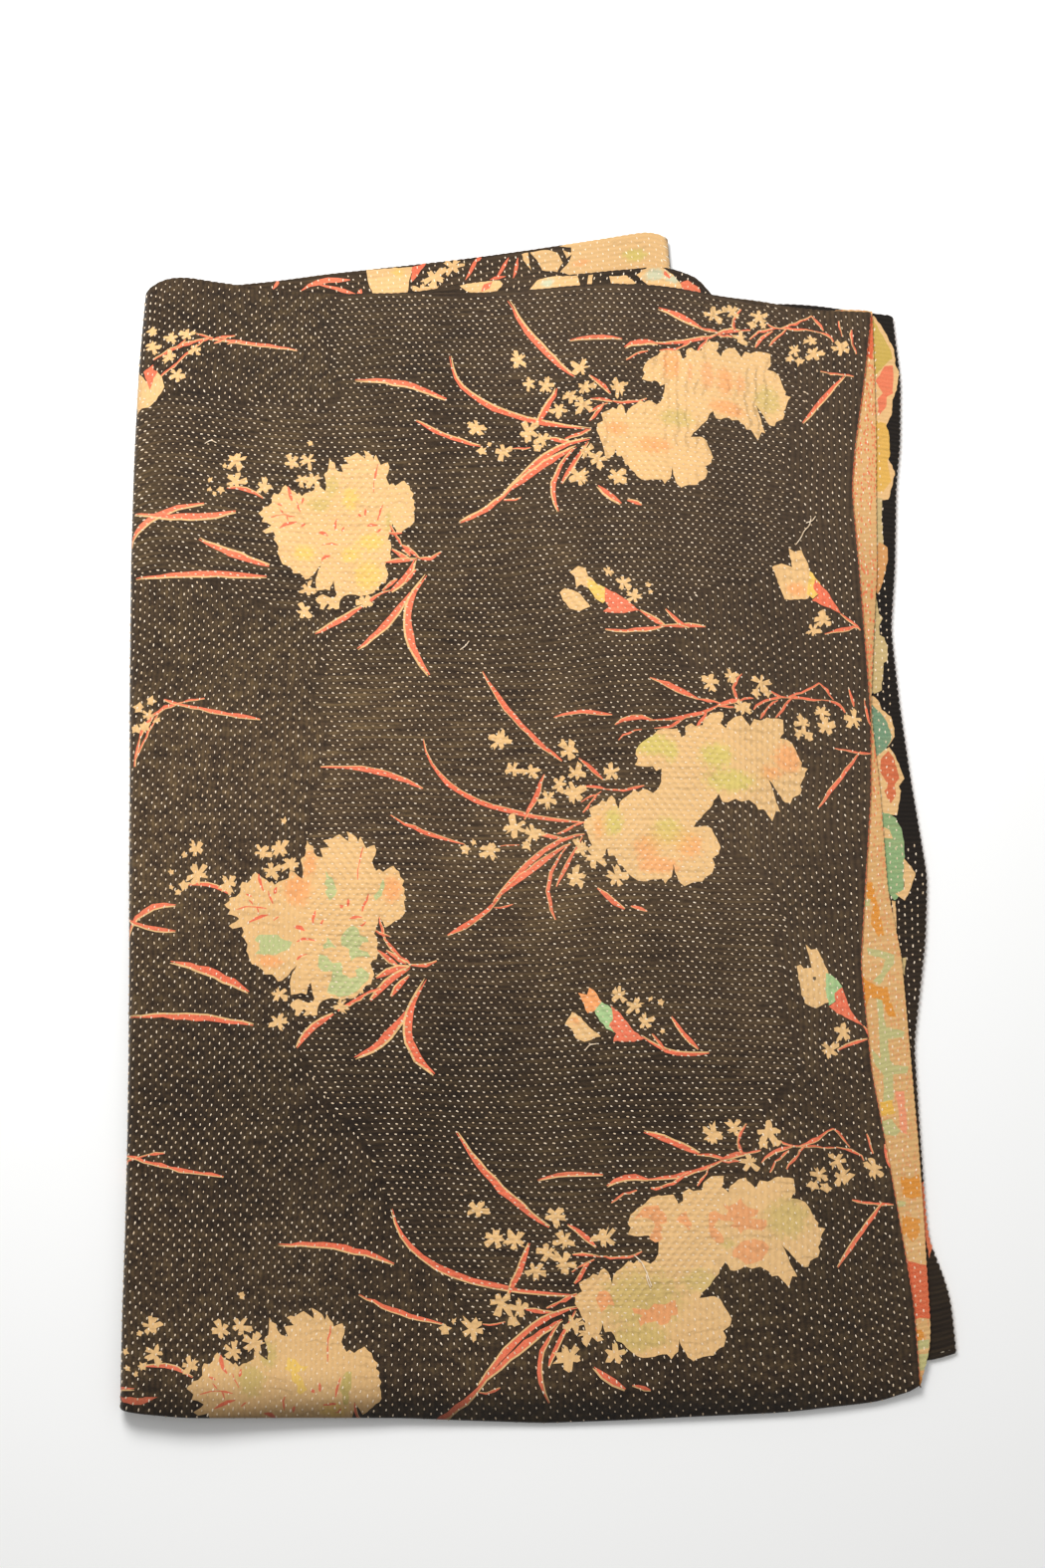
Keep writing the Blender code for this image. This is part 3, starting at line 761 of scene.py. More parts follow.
# Leaves and twigs, in millimetres: start, bend, end, and width.
RIGHT_LEAVES = (
    (-154, 81, -150, 11, -6, -2, 5.2), (-93, 146, -68, 92, -23, 58, 6.1), (-28, 100, -3, 108, 28, 102, 4.2),
    (-7, 60, 4, 52, 15, 39, 4.2), (-6, 33, 8, 34, 17, 30, 3.3), (17, 30, 32, 26, 53, 33, 2.1),
    (12, 28, 2, 25, -8, 18, 1.9), (8, 26, 1, 16, -7, 8, 3), (-41, 45, -49, 25, -63, 2, 5.7),
    (-189, 8, -164, -9, -121, -21, 4), (-253, 55, -198, 56, -157, 33, 5.7), (-6, -1, -18, -7, -33, -12, 2.8),
    (-28, -16, -40, -15, -51, -12, 4.2), (-7, -13, -47, -16, -97, -76, 5.7), (-21, -22, -49, -35, -96, -74, 6.1),
    (-90, -70, -111, -93, -142, -106, 5.7), (-79, -78, -87, -82, -97, -81, 2.4), (-23, -23, -56, -57, -40, -93, 4.2),
    (-9, -15, -29, -46, -37, -62, 4.2), (-88, -23, -79, -23, -69, -22, 1.7), (1, -64, 11, -74, 25, -84, 6.6),
    (31, -81, 38, -82, 46, -86, 3.8), (67, 138, 92, 128, 112, 116, 6.1), (110, 116, 121, 115, 133, 111, 2.8),
    (30, 92, 44, 103, 66, 96, 5.7), (61, 96, 98, 95, 131, 110, 3.8), (129, 110, 139, 115, 154, 115, 5.2),
    (152, 115, 159, 116, 165, 117, 1.9), (130, 109, 140, 109, 145, 108, 2.8), (156, 141, 143, 129, 149, 115, 3.2),
    (67, 88, 84, 87, 101, 100, 2.6), (32, 77, 42, 85, 55, 87, 1.9), (119, 105, 114, 95, 107, 88, 2.4),
    (164, 106, 175, 118, 194, 120, 2.8), (194, 120, 207, 119, 231, 117, 2.1), (231, 117, 250, 115, 253, 104, 2.3),
    (183, 125, 186, 120, 197, 119, 2.1), (197, 119, 213, 123, 231, 134, 2.5), (231, 134, 239, 127, 243, 117, 2.1),
    (189, 116, 176, 109, 170, 97, 2.6), (204, 119, 193, 109, 185, 99, 2.5), (259, 128, 260, 119, 262, 110, 2.3),
    (273, 118, 272, 103, 277, 90, 2.3), (238, 70, 254, 67, 273, 64, 2.5), (264, 66, 245, 45, 217, 11, 4.2),
)
LEFT_LEAVES = (
    (-140, -42, -97, -49, -62, -72, 7), (-177, -97, -120, -93, -57, -105, 5.5), (-14, -127, -5, -108, 21, -94, 6),
    (42, -136, 72, -124, 92, -90, 8), (111, -60, 73, -117, 120, -152, 7.5), (121, -42, 112, -49, 96, -46, 3.2),
    (96, -46, 79, -35, 69, -19, 3.2), (70, -20, 65, -11, 64, 2, 2.4), (75, -18, 69, -17, 59, -11, 2.2),
    (63, -31, 71, -39, 83, -46, 4.5), (71, -32, 81, -39, 91, -45, 4), (95, -48, 79, -47, 62, -59, 5.5),
    (95, -49, 77, -56, 57, -81, 6.5), (94, -57, 85, -63, 77, -77, 5), (66, -68, 46, -76, 25, -91, 3),
    (-83, 24, -101, 38, -127, 34, 4), (-184, -19, -175, 18, -137, 14, 5), (-184, 1, -162, -12, -136, -12, 4.5),
)
LEFT_STROKES = (
    (-56, 45, -55, 37, -51, 28, 3.2), (-68, 25, -65, 24, -62, 22, 1.8), (-46, 28, -45, 22, -41, 15, 1.8),
    (-38, 32, -39, 28, -40, 25, 3), (-65, 19, -63, 17, -61, 14, 1.4), (-77, 9, -70, 12, -63, 12, 1.4),
    (-65, 12, -56, 12, -47, 10, 1.6), (-57, 11, -55, 8, -55, 5, 1.5), (-65, -4, -56, 2, -45, 4, 4.2),
    (-40, -2, -38, 0, -35, 2, 1.8), (1, 8, -2, 1, -1, -5, 2.6), (7, -7, 7, -4, 9, -1, 2.6),
    (-20, -8, -15, -7, -9, -12, 4.6), (-17, -23, -8, -19, 2, -22, 2.2), (-16, -41, -16, -36, -6, -35, 3.2),
    (47, 72, 45, 63, 43, 54, 1.8), (43, 54, 42, 47, 42, 39, 1.2), (53, 25, 50, 17, 47, 7, 2.6),
    (25, 14, 26, 13, 28, 11, 3.2), (33, 20, 33, 16, 33, 12, 2.6), (35, 0, 41, 2, 47, 1, 3.2),
    (45, -7, 49, -7, 51, -3, 2),
)
EDGE_TWIGS = (
    (-1, -60, -2, -2, 40, 6, 3), (25, 10, 60, -2, 123, -11, 3.2), (38, 6, 55, 10, 66, 11, 2),
    (-1, -54, 11, -21, 22, -2, 2),
)
LOOSE_LEAVES = (
    (-402, 460, -376, 478, -344, 484, 3.2), (-344, 484, -302, 481, -251, 471, 3.6),
    (-395, 439, -377, 457, -350, 483, 2.6), (-358, 490, -350, 487, -340, 485, 2.2),
    (-342, 483, -329, 488, -317, 488, 2), (-380, 472, -373, 479, -369, 483, 2),
    (-339, 479, -332, 482, -326, 486, 2.4), (-325, 478, -319, 481, -310, 483, 2.2),
    (105, 183, 120, 172, 130, 167, 4.6), (70, 163, 103, 160, 131, 167, 3.8), (125, 166, 153, 168, 172, 165, 3.6),
    (132, 185, 141, 172, 156, 165, 4), (312, 184, 325, 176, 332, 166, 3), (295, 162, 315, 169, 330, 169, 3),
    (102, -252, 127, -274, 167, -268, 4), (112, -249, 117, -258, 124, -265, 2.8),
    (131, -232, 140, -250, 157, -264, 4), (319, -240, 323, -244, 326, -251, 2.6),
    (293, -264, 306, -257, 323, -253, 3.6), (-347, 260, -318, 244, -274, 231, 7),
    (-409, 218, -346, 227, -276, 220, 6), (-225, 158, -204, 168, -176, 188, 5.5),
    (-182, 142, -153, 163, -129, 203, 6.5), (-112, 221, -151, 174, -108, 114, 7.5),
    (-98, 246, -107, 238, -120, 239, 3.2), (-120, 239, -130, 249, -139, 254, 3.4),
    (-139, 254, -144, 265, -151, 276, 2.6), (-138, 267, -144, 265, -152, 267, 2.2),
    (-149, 249, -142, 243, -130, 238, 4.5), (-138, 249, -132, 248, -129, 242, 3),
    (-122, 238, -137, 236, -155, 235, 5), (-125, 238, -131, 217, -149, 204, 7), (-149, 204, -162, 201, -174, 191, 3),
    (-142, 217, -152, 211, -157, 204, 3), (-123, 227, -128, 221, -134, 213, 3.2),
    (-282, 305, -297, 318, -320, 316, 3.8), (-417, 252, -412, 291, -343, 300, 6),
    (-413, 289, -363, 280, -310, 291, 6.5),
)
UPPER_LEAVES = (
    (-280, 547, -275, 553, -275, 559, 4), (-250, 545, -230, 561, -198, 558, 7),
    (-234, 553, -208, 548, -189, 540, 4.5), (-191, 539, -187, 542, -186, 547, 6),
    (-132, 556, -127, 567, -119, 578, 5), (-75, 558, -69, 569, -61, 585, 4.5), (-67, 578, -62, 582, -58, 584, 4),
    (-43, 558, -36, 571, -29, 584, 4.5), (-24, 560, -22, 569, -19, 584, 4), (-49, 558, -41, 561, -32, 562, 4),
)

# Small star flowers, in millimetres: place and radius.
RIGHT_STARS = (
    (-82, 77, 9.9), (-70, 50, 9), (-53, 48, 9.4), (-16, 68, 10.4), (-11, 46, 9.9), (-27, 36, 9), (-14, 26, 11.3),
    (-39, 21, 9.4), (23, 46, 10.4), (-71, -5, 12.3), (-56, -12, 9.4), (-62, -22, 5.7), (-120, -26, 5.7),
    (-112, -19, 3.3), (-97, -27, 11.3), (-11, -26, 9.4), (1, -35, 10.4), (-19, -54, 11.3), (20, -54, 11.3),
    (125, 132, 10.4), (145, 138, 8.5), (174, 133, 11.3), (168, 123, 5.7), (179, 123, 4.7), (154, 107, 8.5),
    (230, 105, 8.5), (212, 94, 8.5), (232, 90, 10.4), (206, 84, 5.7), (216, 81, 5.7), (261, 97, 9.4),
)
LEFT_STARS = (
    (-119, 70, 10), (-116, 45, 10.5), (-129, 34, 5.5), (-85, 35, 10), (-54, 67, 9.5), (-36, 71, 10.5), (-44, 48, 9.5),
    (-25, 55, 10.5), (-33, -74, 8.5), (-33, -101, 9.5), (28, -86, 8.5), (-143, 47, 3.5), (-142, 32, 3),
    (-135, 27, 3.5), (-130, 64, 3.5), (-33, 99, 4),
)
EDGE_STARS = (
    (12, 8, 6), (0, 1, 6), (10, -7, 7), (19, -12, 4), (7, -18, 6), (-1, -21, 6),
)
LOOSE_STARS = (
    (-404, 492, 5.5), (-403, 475, 8), (-384, 485, 8.5), (-367, 489, 8.5), (-386, 464, 7.5), (-358, 472, 8),
    (-377, 443, 8.5), (74, 225, 7), (89, 214, 8.5), (100, 198, 9), (114, 211, 3.5), (117, 203, 3), (294, 177, 9.5),
    (283, 166, 8), (80, -211, 8.5), (96, -222, 10), (105, -237, 8.5), (111, -215, 3), (121, -218, 4), (122, -247, 3),
    (299, -246, 9.5), (285, -264, 9.5), (-62, 383, 9.5), (-311, 347, 10), (-311, 323, 9.5), (-326, 315, 5),
    (-282, 317, 9), (-254, 344, 9), (-236, 347, 9), (-243, 326, 9), (-231, 326, 9.5), (-234, 206, 9),
    (-237, 182, 9.5), (-175, 192, 8.5), (-323, 341, 3.5), (-338, 326, 3), (-338, 315, 3), (-333, 310, 3),
    (-235, 366, 4),
)
UPPER_STARS = (
    (-108, 561, 13), (-88, 574, 11), (-121, 546, 10), (-109, 546, 8),
)

# Single petals, buds and blocks of colour, in millimetres: ink, and the corners of each.
TOP_BLOTS = (
    (Ink.CREAM, (34, 225, 43, 231, 50, 229, 53, 220, 60, 214, 53, 207, 46, 211, 41, 207, 39, 220), (24, 202, 29, 207,
     43, 202, 55, 187, 44, 182, 34, 185, 27, 194)),
    (Ink.YELLOW, (52, 217, 72, 207, 77, 200, 68, 191, 60, 196, 53, 208)),
    (Ink.CORAL, (70, 208, 84, 200, 94, 193, 105, 183, 89, 180, 68, 182, 74, 187, 70, 194)),
    (Ink.CREAM, (243, 234, 253, 238, 264, 234, 261, 255, 267, 251, 274, 253, 279, 241, 282, 230, 290, 219, 279, 200,
     269, 199, 255, 199, 250, 214)),
    (Ink.YELLOW, (282, 230, 292, 217, 293, 208, 284, 200, 278, 205)),
    (Ink.CORAL, (287, 221, 299, 208, 312, 184, 298, 191, 283, 198, 290, 204, 285, 211)),
    (Ink.PEACH, (40, -209, 49, -211, 51, -204, 56, -207, 63, -218, 56, -227, 49, -229, 46, -221)),
    (Ink.CREAM, (27, -240, 34, -228, 43, -233, 50, -242, 62, -252, 53, -255, 46, -257, 38, -254, 34, -245)),
    (Ink.GREEN, (56, -227, 63, -218, 78, -227, 75, -248, 67, -244, 61, -237)),
    (Ink.CORAL, (72, -222, 81, -229, 92, -244, 104, -254, 94, -257, 74, -257, 77, -249, 70, -242, 74, -233)),
    (Ink.CREAM, (255, -182, 259, -180, 262, -184, 270, -183, 265, -160, 270, -165, 276, -164, 282, -175, 287, -189,
     291, -202, 286, -217, 273, -223, 262, -218, 258, -202)),
    (Ink.GREEN, (284, -188, 291, -191, 300, -201, 298, -209, 291, -217, 286, -220, 283, -204)),
    (Ink.CORAL, (300, -202, 304, -214, 307, -224, 319, -240, 305, -233, 294, -228, 286, -221, 293, -216, 292, -208)),
    (Ink.SOOT, (271, -192, 274, -192, 274, -195, 271, -196)),
    (Ink.CREAM, (-417, 447, -411, 441, -404, 426, -401, 439, -398, 448, -392, 440, -389, 429, -397, 414, -405, 406,
     -411, 406, -416, 400, -419, 426)),
    (Ink.CORAL, (-411, 447, -406, 451, -402, 455, -401, 448, -397, 447, -401, 438, -404, 426, -408, 437)),
)
PETAL_PATCHES = (
    (Ink.FERN, (-273, -152, -266, -152, -254, -152, -248, -157, -240, -159, -243, -166, -251, -169, -256, -172, -271,
     -171, -277, -171, -272, -166, -272, -160, -277, -157), (-209, -88, -206, -93, -202, -95, -200, -100, -197, -108,
     -199, -113, -204, -118, -207, -113, -209, -109, -206, -105, -210, -101, -208, -96), (-186, -146, -180, -143,
     -176, -146, -174, -152, -167, -154, -165, -159, -171, -160, -175, -166, -166, -169, -163, -174, -171, -173, -177,
     -174, -182, -178, -184, -171, -184, -166, -192, -162, -192, -159, -191, -152), (-206, -154, -202, -159, -196,
     -166, -201, -164, -209, -166, -210, -162, -206, -159), (-213, -171, -206, -173, -200, -180, -192, -179, -190,
     -184, -190, -191, -183, -195, -176, -193, -178, -187, -172, -184, -164, -191, -165, -197, -171, -202, -176, -208,
     -184, -212, -194, -213, -205, -209, -204, -204, -201, -197, -200, -188, -210, -188, -214, -184, -214, -178),
     (-152, -96, -150, -103, -153, -113, -159, -118, -161, -113, -155, -106)),
    (Ink.APRICOT, (101, -415, 107, -414, 115, -413, 117, -417, 123, -423, 123, -429, 116, -431, 119, -434, 117, -440,
     119, -444, 112, -448, 106, -444, 109, -438, 112, -431, 109, -427, 104, -425, 99, -424, 92, -427, 95, -422), (137,
     -421, 142, -419, 144, -426, 147, -431, 144, -437, 142, -434, 138, -430, 132, -428, 134, -424), (177, -412, 183,
     -414, 190, -411, 194, -406, 196, -411, 201, -415, 211, -417, 209, -422, 201, -425, 209, -426, 218, -427, 218,
     -432, 213, -437, 203, -435, 196, -436, 193, -440, 190, -434, 183, -433, 188, -430, 185, -428, 179, -428, 172,
     -427, 168, -431, 171, -436, 175, -440, 177, -444, 177, -448, 170, -448, 165, -443, 163, -435, 163, -427, 163,
     -421, 169, -418, 176, -422, 180, -422, 182, -418), (196, -446, 206, -444, 214, -446, 220, -452, 218, -457, 213,
     -464, 205, -467, 197, -468, 193, -464, 185, -461, 185, -456, 190, -451), (58, -493, 64, -492, 69, -496, 71, -501,
     73, -506, 67, -505, 64, -509, 60, -512, 57, -505, 55, -500), (89, -508, 95, -509, 104, -510, 110, -504, 120,
     -505, 130, -501, 132, -509, 132, -514, 126, -515, 123, -522, 116, -524, 111, -520, 101, -522, 97, -525, 95, -519,
     99, -515, 91, -513)),
    (Ink.YELLOW, (-234, -553, -227, -555, -222, -561, -215, -561, -218, -565, -226, -567, -221, -571, -218, -579,
     -215, -582, -222, -587, -225, -584, -224, -579, -230, -574, -231, -567, -237, -564, -235, -559)),
    (Ink.LEAF, (-179, -566, -174, -566, -174, -574, -174, -581, -177, -585, -176, -590, -177, -596, -181, -596, -182,
     -587, -185, -582, -183, -574)),
    (Ink.CORAL, (-392, -588, -387, -590, -380, -589, -374, -590, -363, -589, -355, -589, -363, -593, -370, -596, -378,
     -596, -387, -594)),
)
UPPER_BLOTS = (
    (Ink.CREAM, (-181, 570, -131, 573, -135, 558, -137, 539, -172, 538, -178, 553)),
    (Ink.CORAL, (-132, 573, -117, 578, -122, 570, -133, 556)),
    (Ink.CREAM, (-15, 588, -8, 590, -5, 569, -11, 578), (-6, 590, 10, 593, 23, 590, 29, 578, 23, 567, 7, 569, 3, 578),
     (25, 597, 39, 604, 66, 609, 108, 614, 132, 617, 140, 609, 142, 569, 108, 566, 44, 561, 26, 567, 35, 578, 39, 588,
     33, 583, 29, 593, 38, 590, 38, 596)),
)
MIDDLE_BLOTS = (
    (Ink.CREAM, (-81, 548, -62, 553, -41, 556, -35, 550, -41, 542, -64, 538, -73, 541)),
    (Ink.CORAL, (-55, 550, -46, 553, -49, 545, -58, 541)),
    (Ink.CREAM, (-7, 543, 1, 554, 14, 558, 44, 560, 49, 545, 28, 541), (56, 560, 61, 561, 59, 548, 54, 545), (78, 559,
     97, 560, 107, 551, 95, 549, 80, 551), (107, 561, 120, 571, 133, 570, 146, 561, 158, 546, 139, 545, 120, 548)),
    (Ink.CORAL, (137, 566, 144, 559, 142, 556, 136, 561), (154, 552, 162, 556, 173, 550, 177, 541, 166, 541, 156,
     543)),
)
SIDE_BLOTS = (
    (Ink.CREAM, (353, 522, 360, 519, 373, 497, 380, 480, 381, 461, 384, 455, 381, 434, 376, 423, 374, 405, 367, 391,
     355, 391, 358, 480)),
    (Ink.MUSTARD, (354, 520, 359, 515, 370, 493, 376, 480, 378, 470, 368, 461, 358, 448, 356, 480)),
    (Ink.CORAL, (369, 461, 378, 462, 378, 449, 377, 430, 370, 426, 369, 415, 362, 406, 360, 423, 366, 430, 359, 444)),
    (Ink.CREAM, (363, 400, 370, 378, 369, 355, 375, 342, 371, 324, 367, 311, 352, 309, 353, 396)),
    (Ink.OCHRE, (353, 400, 368, 396, 371, 380, 371, 363, 368, 355, 371, 331, 362, 319, 350, 321)),
    (Ink.STONE, (350, 313, 361, 312, 359, 289, 360, 261, 348, 260)),
    (Ink.TAN, (352, 258, 356, 264, 364, 258, 364, 245, 360, 229, 358, 220, 352, 207, 348, 213)),
    (Ink.STONE, (350, 206, 352, 186, 356, 181, 352, 173, 352, 163, 357, 160, 360, 150, 359, 135, 355, 133, 352, 104,
     344, 100, 339, 108, 340, 149, 346, 187)),
    (Ink.CREAM, (339, 99, 344, 97, 349, 91, 351, 83, 360, 76, 363, 64, 363, 55, 356, 45, 343, 45)),
    (Ink.TEAL, (341, 89, 348, 82, 355, 72, 361, 55, 354, 43, 347, 28, 341, 28)),
    (Ink.CREAM, (357, 44, 363, 34, 371, 11, 365, 3, 367, -2, 362, -27, 341, -25, 343, 34)),
    (Ink.BRICK, (348, 31, 356, 40, 362, 30, 366, 11, 361, 5, 362, -5, 356, -15, 350, -2, 354, 5, 347, 18)),
    (Ink.GRASS, (343, -21, 361, -30, 366, -41, 368, -54, 367, -77, 365, -104, 356, -114, 344, -97, 339, -70, 340,
     -48)),
    (Ink.CREAM, (346, -38, 354, -42, 357, -51, 347, -50), (367, -71, 378, -86, 373, -101, 366, -114, 357, -107, 365,
     -103), (353, -114, 357, -115, 357, -142, 354, -142)),
    (Ink.STONE, (361, -172, 365, -171, 363, -189, 361, -187)),
    (Ink.BRICK, (368, -392, 374, -388, 381, -441, 375, -462, 371, -441)),
)
BACK_BLOTS = (
    (Ink.BRICK, (347, 521, 358, 517, 359, 484, 355, 467, 345, 476, 350, 495)),
    (Ink.ORANGE, (328, -96, 334, -96, 338, -117, 342, -137, 344, -150, 338, -151, 331, -138, 334, -118, 328, -111)),
    (Ink.OLIVE, (325, -114, 332, -113, 331, -120, 325, -121), (326, -162, 340, -165, 353, -169, 352, -179, 344, -188,
     337, -199, 331, -195, 340, -184, 344, -174, 327, -169)),
    (Ink.ORANGE, (320, -189, 325, -195, 337, -201, 345, -201, 347, -215, 352, -231, 345, -230, 338, -215, 327, -211,
     322, -226, 319, -211)),
    (Ink.OLIVE, (333, -212, 339, -214, 342, -241, 360, -245, 358, -251, 343, -252, 344, -272, 349, -278, 362, -279,
     361, -285, 347, -287, 346, -311, 336, -314, 338, -289, 329, -275, 326, -260, 335, -272, 335, -241)),
    (Ink.BLUSH, (348, -303, 357, -303, 358, -328, 358, -345, 352, -342, 351, -323)),
    (Ink.OCHRE, (333, -314, 345, -312, 348, -324, 334, -327)),
    (Ink.OLIVE, (334, -332, 344, -330, 352, -341, 347, -347, 335, -344)),
    (Ink.ORANGE, (350, -385, 359, -387, 368, -382, 369, -404, 360, -406, 351, -404)),
    (Ink.OLIVE, (344, -408, 354, -409, 354, -413, 345, -414)),
    (Ink.ORANGE, (350, -422, 367, -425, 366, -439, 359, -447, 354, -441, 349, -439)),
    (Ink.BRICK, (347, -462, 361, -466, 374, -469, 374, -518, 363, -517, 352, -521)),
    (Ink.ORANGE, (356, -529, 366, -528, 367, -538, 357, -540)),
    (Ink.OLIVE, (358, -539, 371, -537, 370, -545, 359, -547), (357, -552, 370, -549, 370, -564, 358, -566)),
    (Ink.ORANGE, (354, -572, 367, -570, 367, -584, 354, -584)),
)

# Soft patches of a second colour, in millimetres: ink, and place, half width and half height of each.
TOP_WASHES = (
    (Ink.PEACH, (142, 454, 12, 20)),
    (Ink.APRICOT, (161, 445, 3, 16), (180, 443, 9, 20)),
    (Ink.PEACH, (199, 438, 10, 20)),
    (Ink.APRICOT, (215, 437, 6, 16)),
    (Ink.PEACH, (197, 409, 21, 9), (207, 404, 16, 8), (122, 364, 23, 12), (84, 383, 14, 10)),
    (Ink.LEAF, (146, 394, 23, 13), (243, 419, 17, 21)),
    (Ink.LIME, (114, 42, 25, 14), (134, 35, 10, 13), (180, 30, 20, 16), (194, 4, 31, 14)),
    (Ink.PEACH, (253, 29, 17, 20), (235, 14, 13, 10)),
    (Ink.LIME, (76, -38, 12, 17), (131, -48, 20, 17)),
    (Ink.PEACH, (110, -64, 16, 17), (150, -61, 17, 16), (62, -44, 6, 16), (121, -82, 26, 10)),
    (Ink.LEAF, (181, -448, 10, 6), (153, -483, 23, 13)),
    (Ink.YELLOW, (-192, 304, 10, 16), (-238, 245, 14, 10), (-170, 257, 17, 12), (-191, 243, 12, 10),
     (-172, 221, 18, 20)),
    (Ink.LEAF, (-152, 279, 4, 16), (-223, 298, 16, 10), (-211, 318, 9, 16)),
    (Ink.PEACH, (-236, -107, 16, 20), (-224, -81, 8, 17), (-143, -107, 12, 16), (-262, -178, 16, 8)),
    (Ink.LEAF, (-268, -574, 16, 18), (-252, -551, 10, 16)),
    (Ink.YELLOW, (-190, -601, 16, 8)),
    (Ink.CORAL, (293, -215, 6, 5)),
    (Ink.PEACH, (267, 210, 12, 10), (36, -237, 6, 5)),
    (Ink.CORAL, (67, -229, 6, 9)),
    (Ink.LEAF, (98, -500, 46, 34), (96, -535, 34, 16), (238, -425, 26, 24)),
)
UPPER_WASHES = (
    (Ink.LIME, (106, 587, 15, 9)),
    (Ink.PEACH, (49, 578, 12, 4)),
    (Ink.YELLOW, (-147, 567, 8, 6)),
)
MIDDLE_WASHES = (
    (Ink.MIST, (13, 551, 10, 6), (127, 561, 14, 9), (145, 556, 9, 6)),
)

# Each right spray's flower, then its leaves; the last number tells how wide the leaves' pale edges are.
SPRAYS_RIGHT = (
    (Placing(0.063, 0.383), Placing(0.063, 0.383, (0.997, 0.001), (-0.001, 0.990), 0.34)),
    (Placing(0.047, -0.042, (1.110, 0.095), (-0.035, 1.055)),
     Placing(0.054, -0.037, (1.053, 0.015), (-0.072, 1.070), 0.12)),
    (Placing(0.035, -0.502, (1.191, 0.133), (-0.115, 1.004)),
     Placing(0.044, -0.494, (1.119, 0.053), (-0.122, 1.061), 0.26)),
)
UPPER_LEFT = Placing(-0.206, 0.275, (0.905, -0.010), (-0.005, 0.947))
SPRAYS_LEFT = (Placing(-0.219, -0.136), Placing(-0.236, -0.596, (1.020, -0.005), (-0.093, 1.002)))
SPRAYS_EDGE = (Placing(-0.401, 0.079), Placing(-0.423, -0.375))
PRINT_REPEAT = (-0.80, 0.0)  # two repeats of the block


class Cut(NamedTuple):
    """How a leaf or a twig is cut in the block: its steps, and how much it wanders, rounds and frays."""

    step: float
    wander: float
    roundness: float
    fray: float


LEAF_CUT = Cut(step=0.0090, wander=0.0004, roundness=0.80, fray=0.12)
TWIG_CUT = Cut(step=0.0055, wander=0.0006, roundness=0.45, fray=0.30)

# A petal's outline: degrees from its middle, and share of its length. The smallest stars have plain petals.
PETAL = ((-36, 0.38), (-17, 0.88), (-4, 1.0), (6, 0.84), (18, 0.92))
PLAIN_PETAL = ((-36, 0.6), (0, 1))


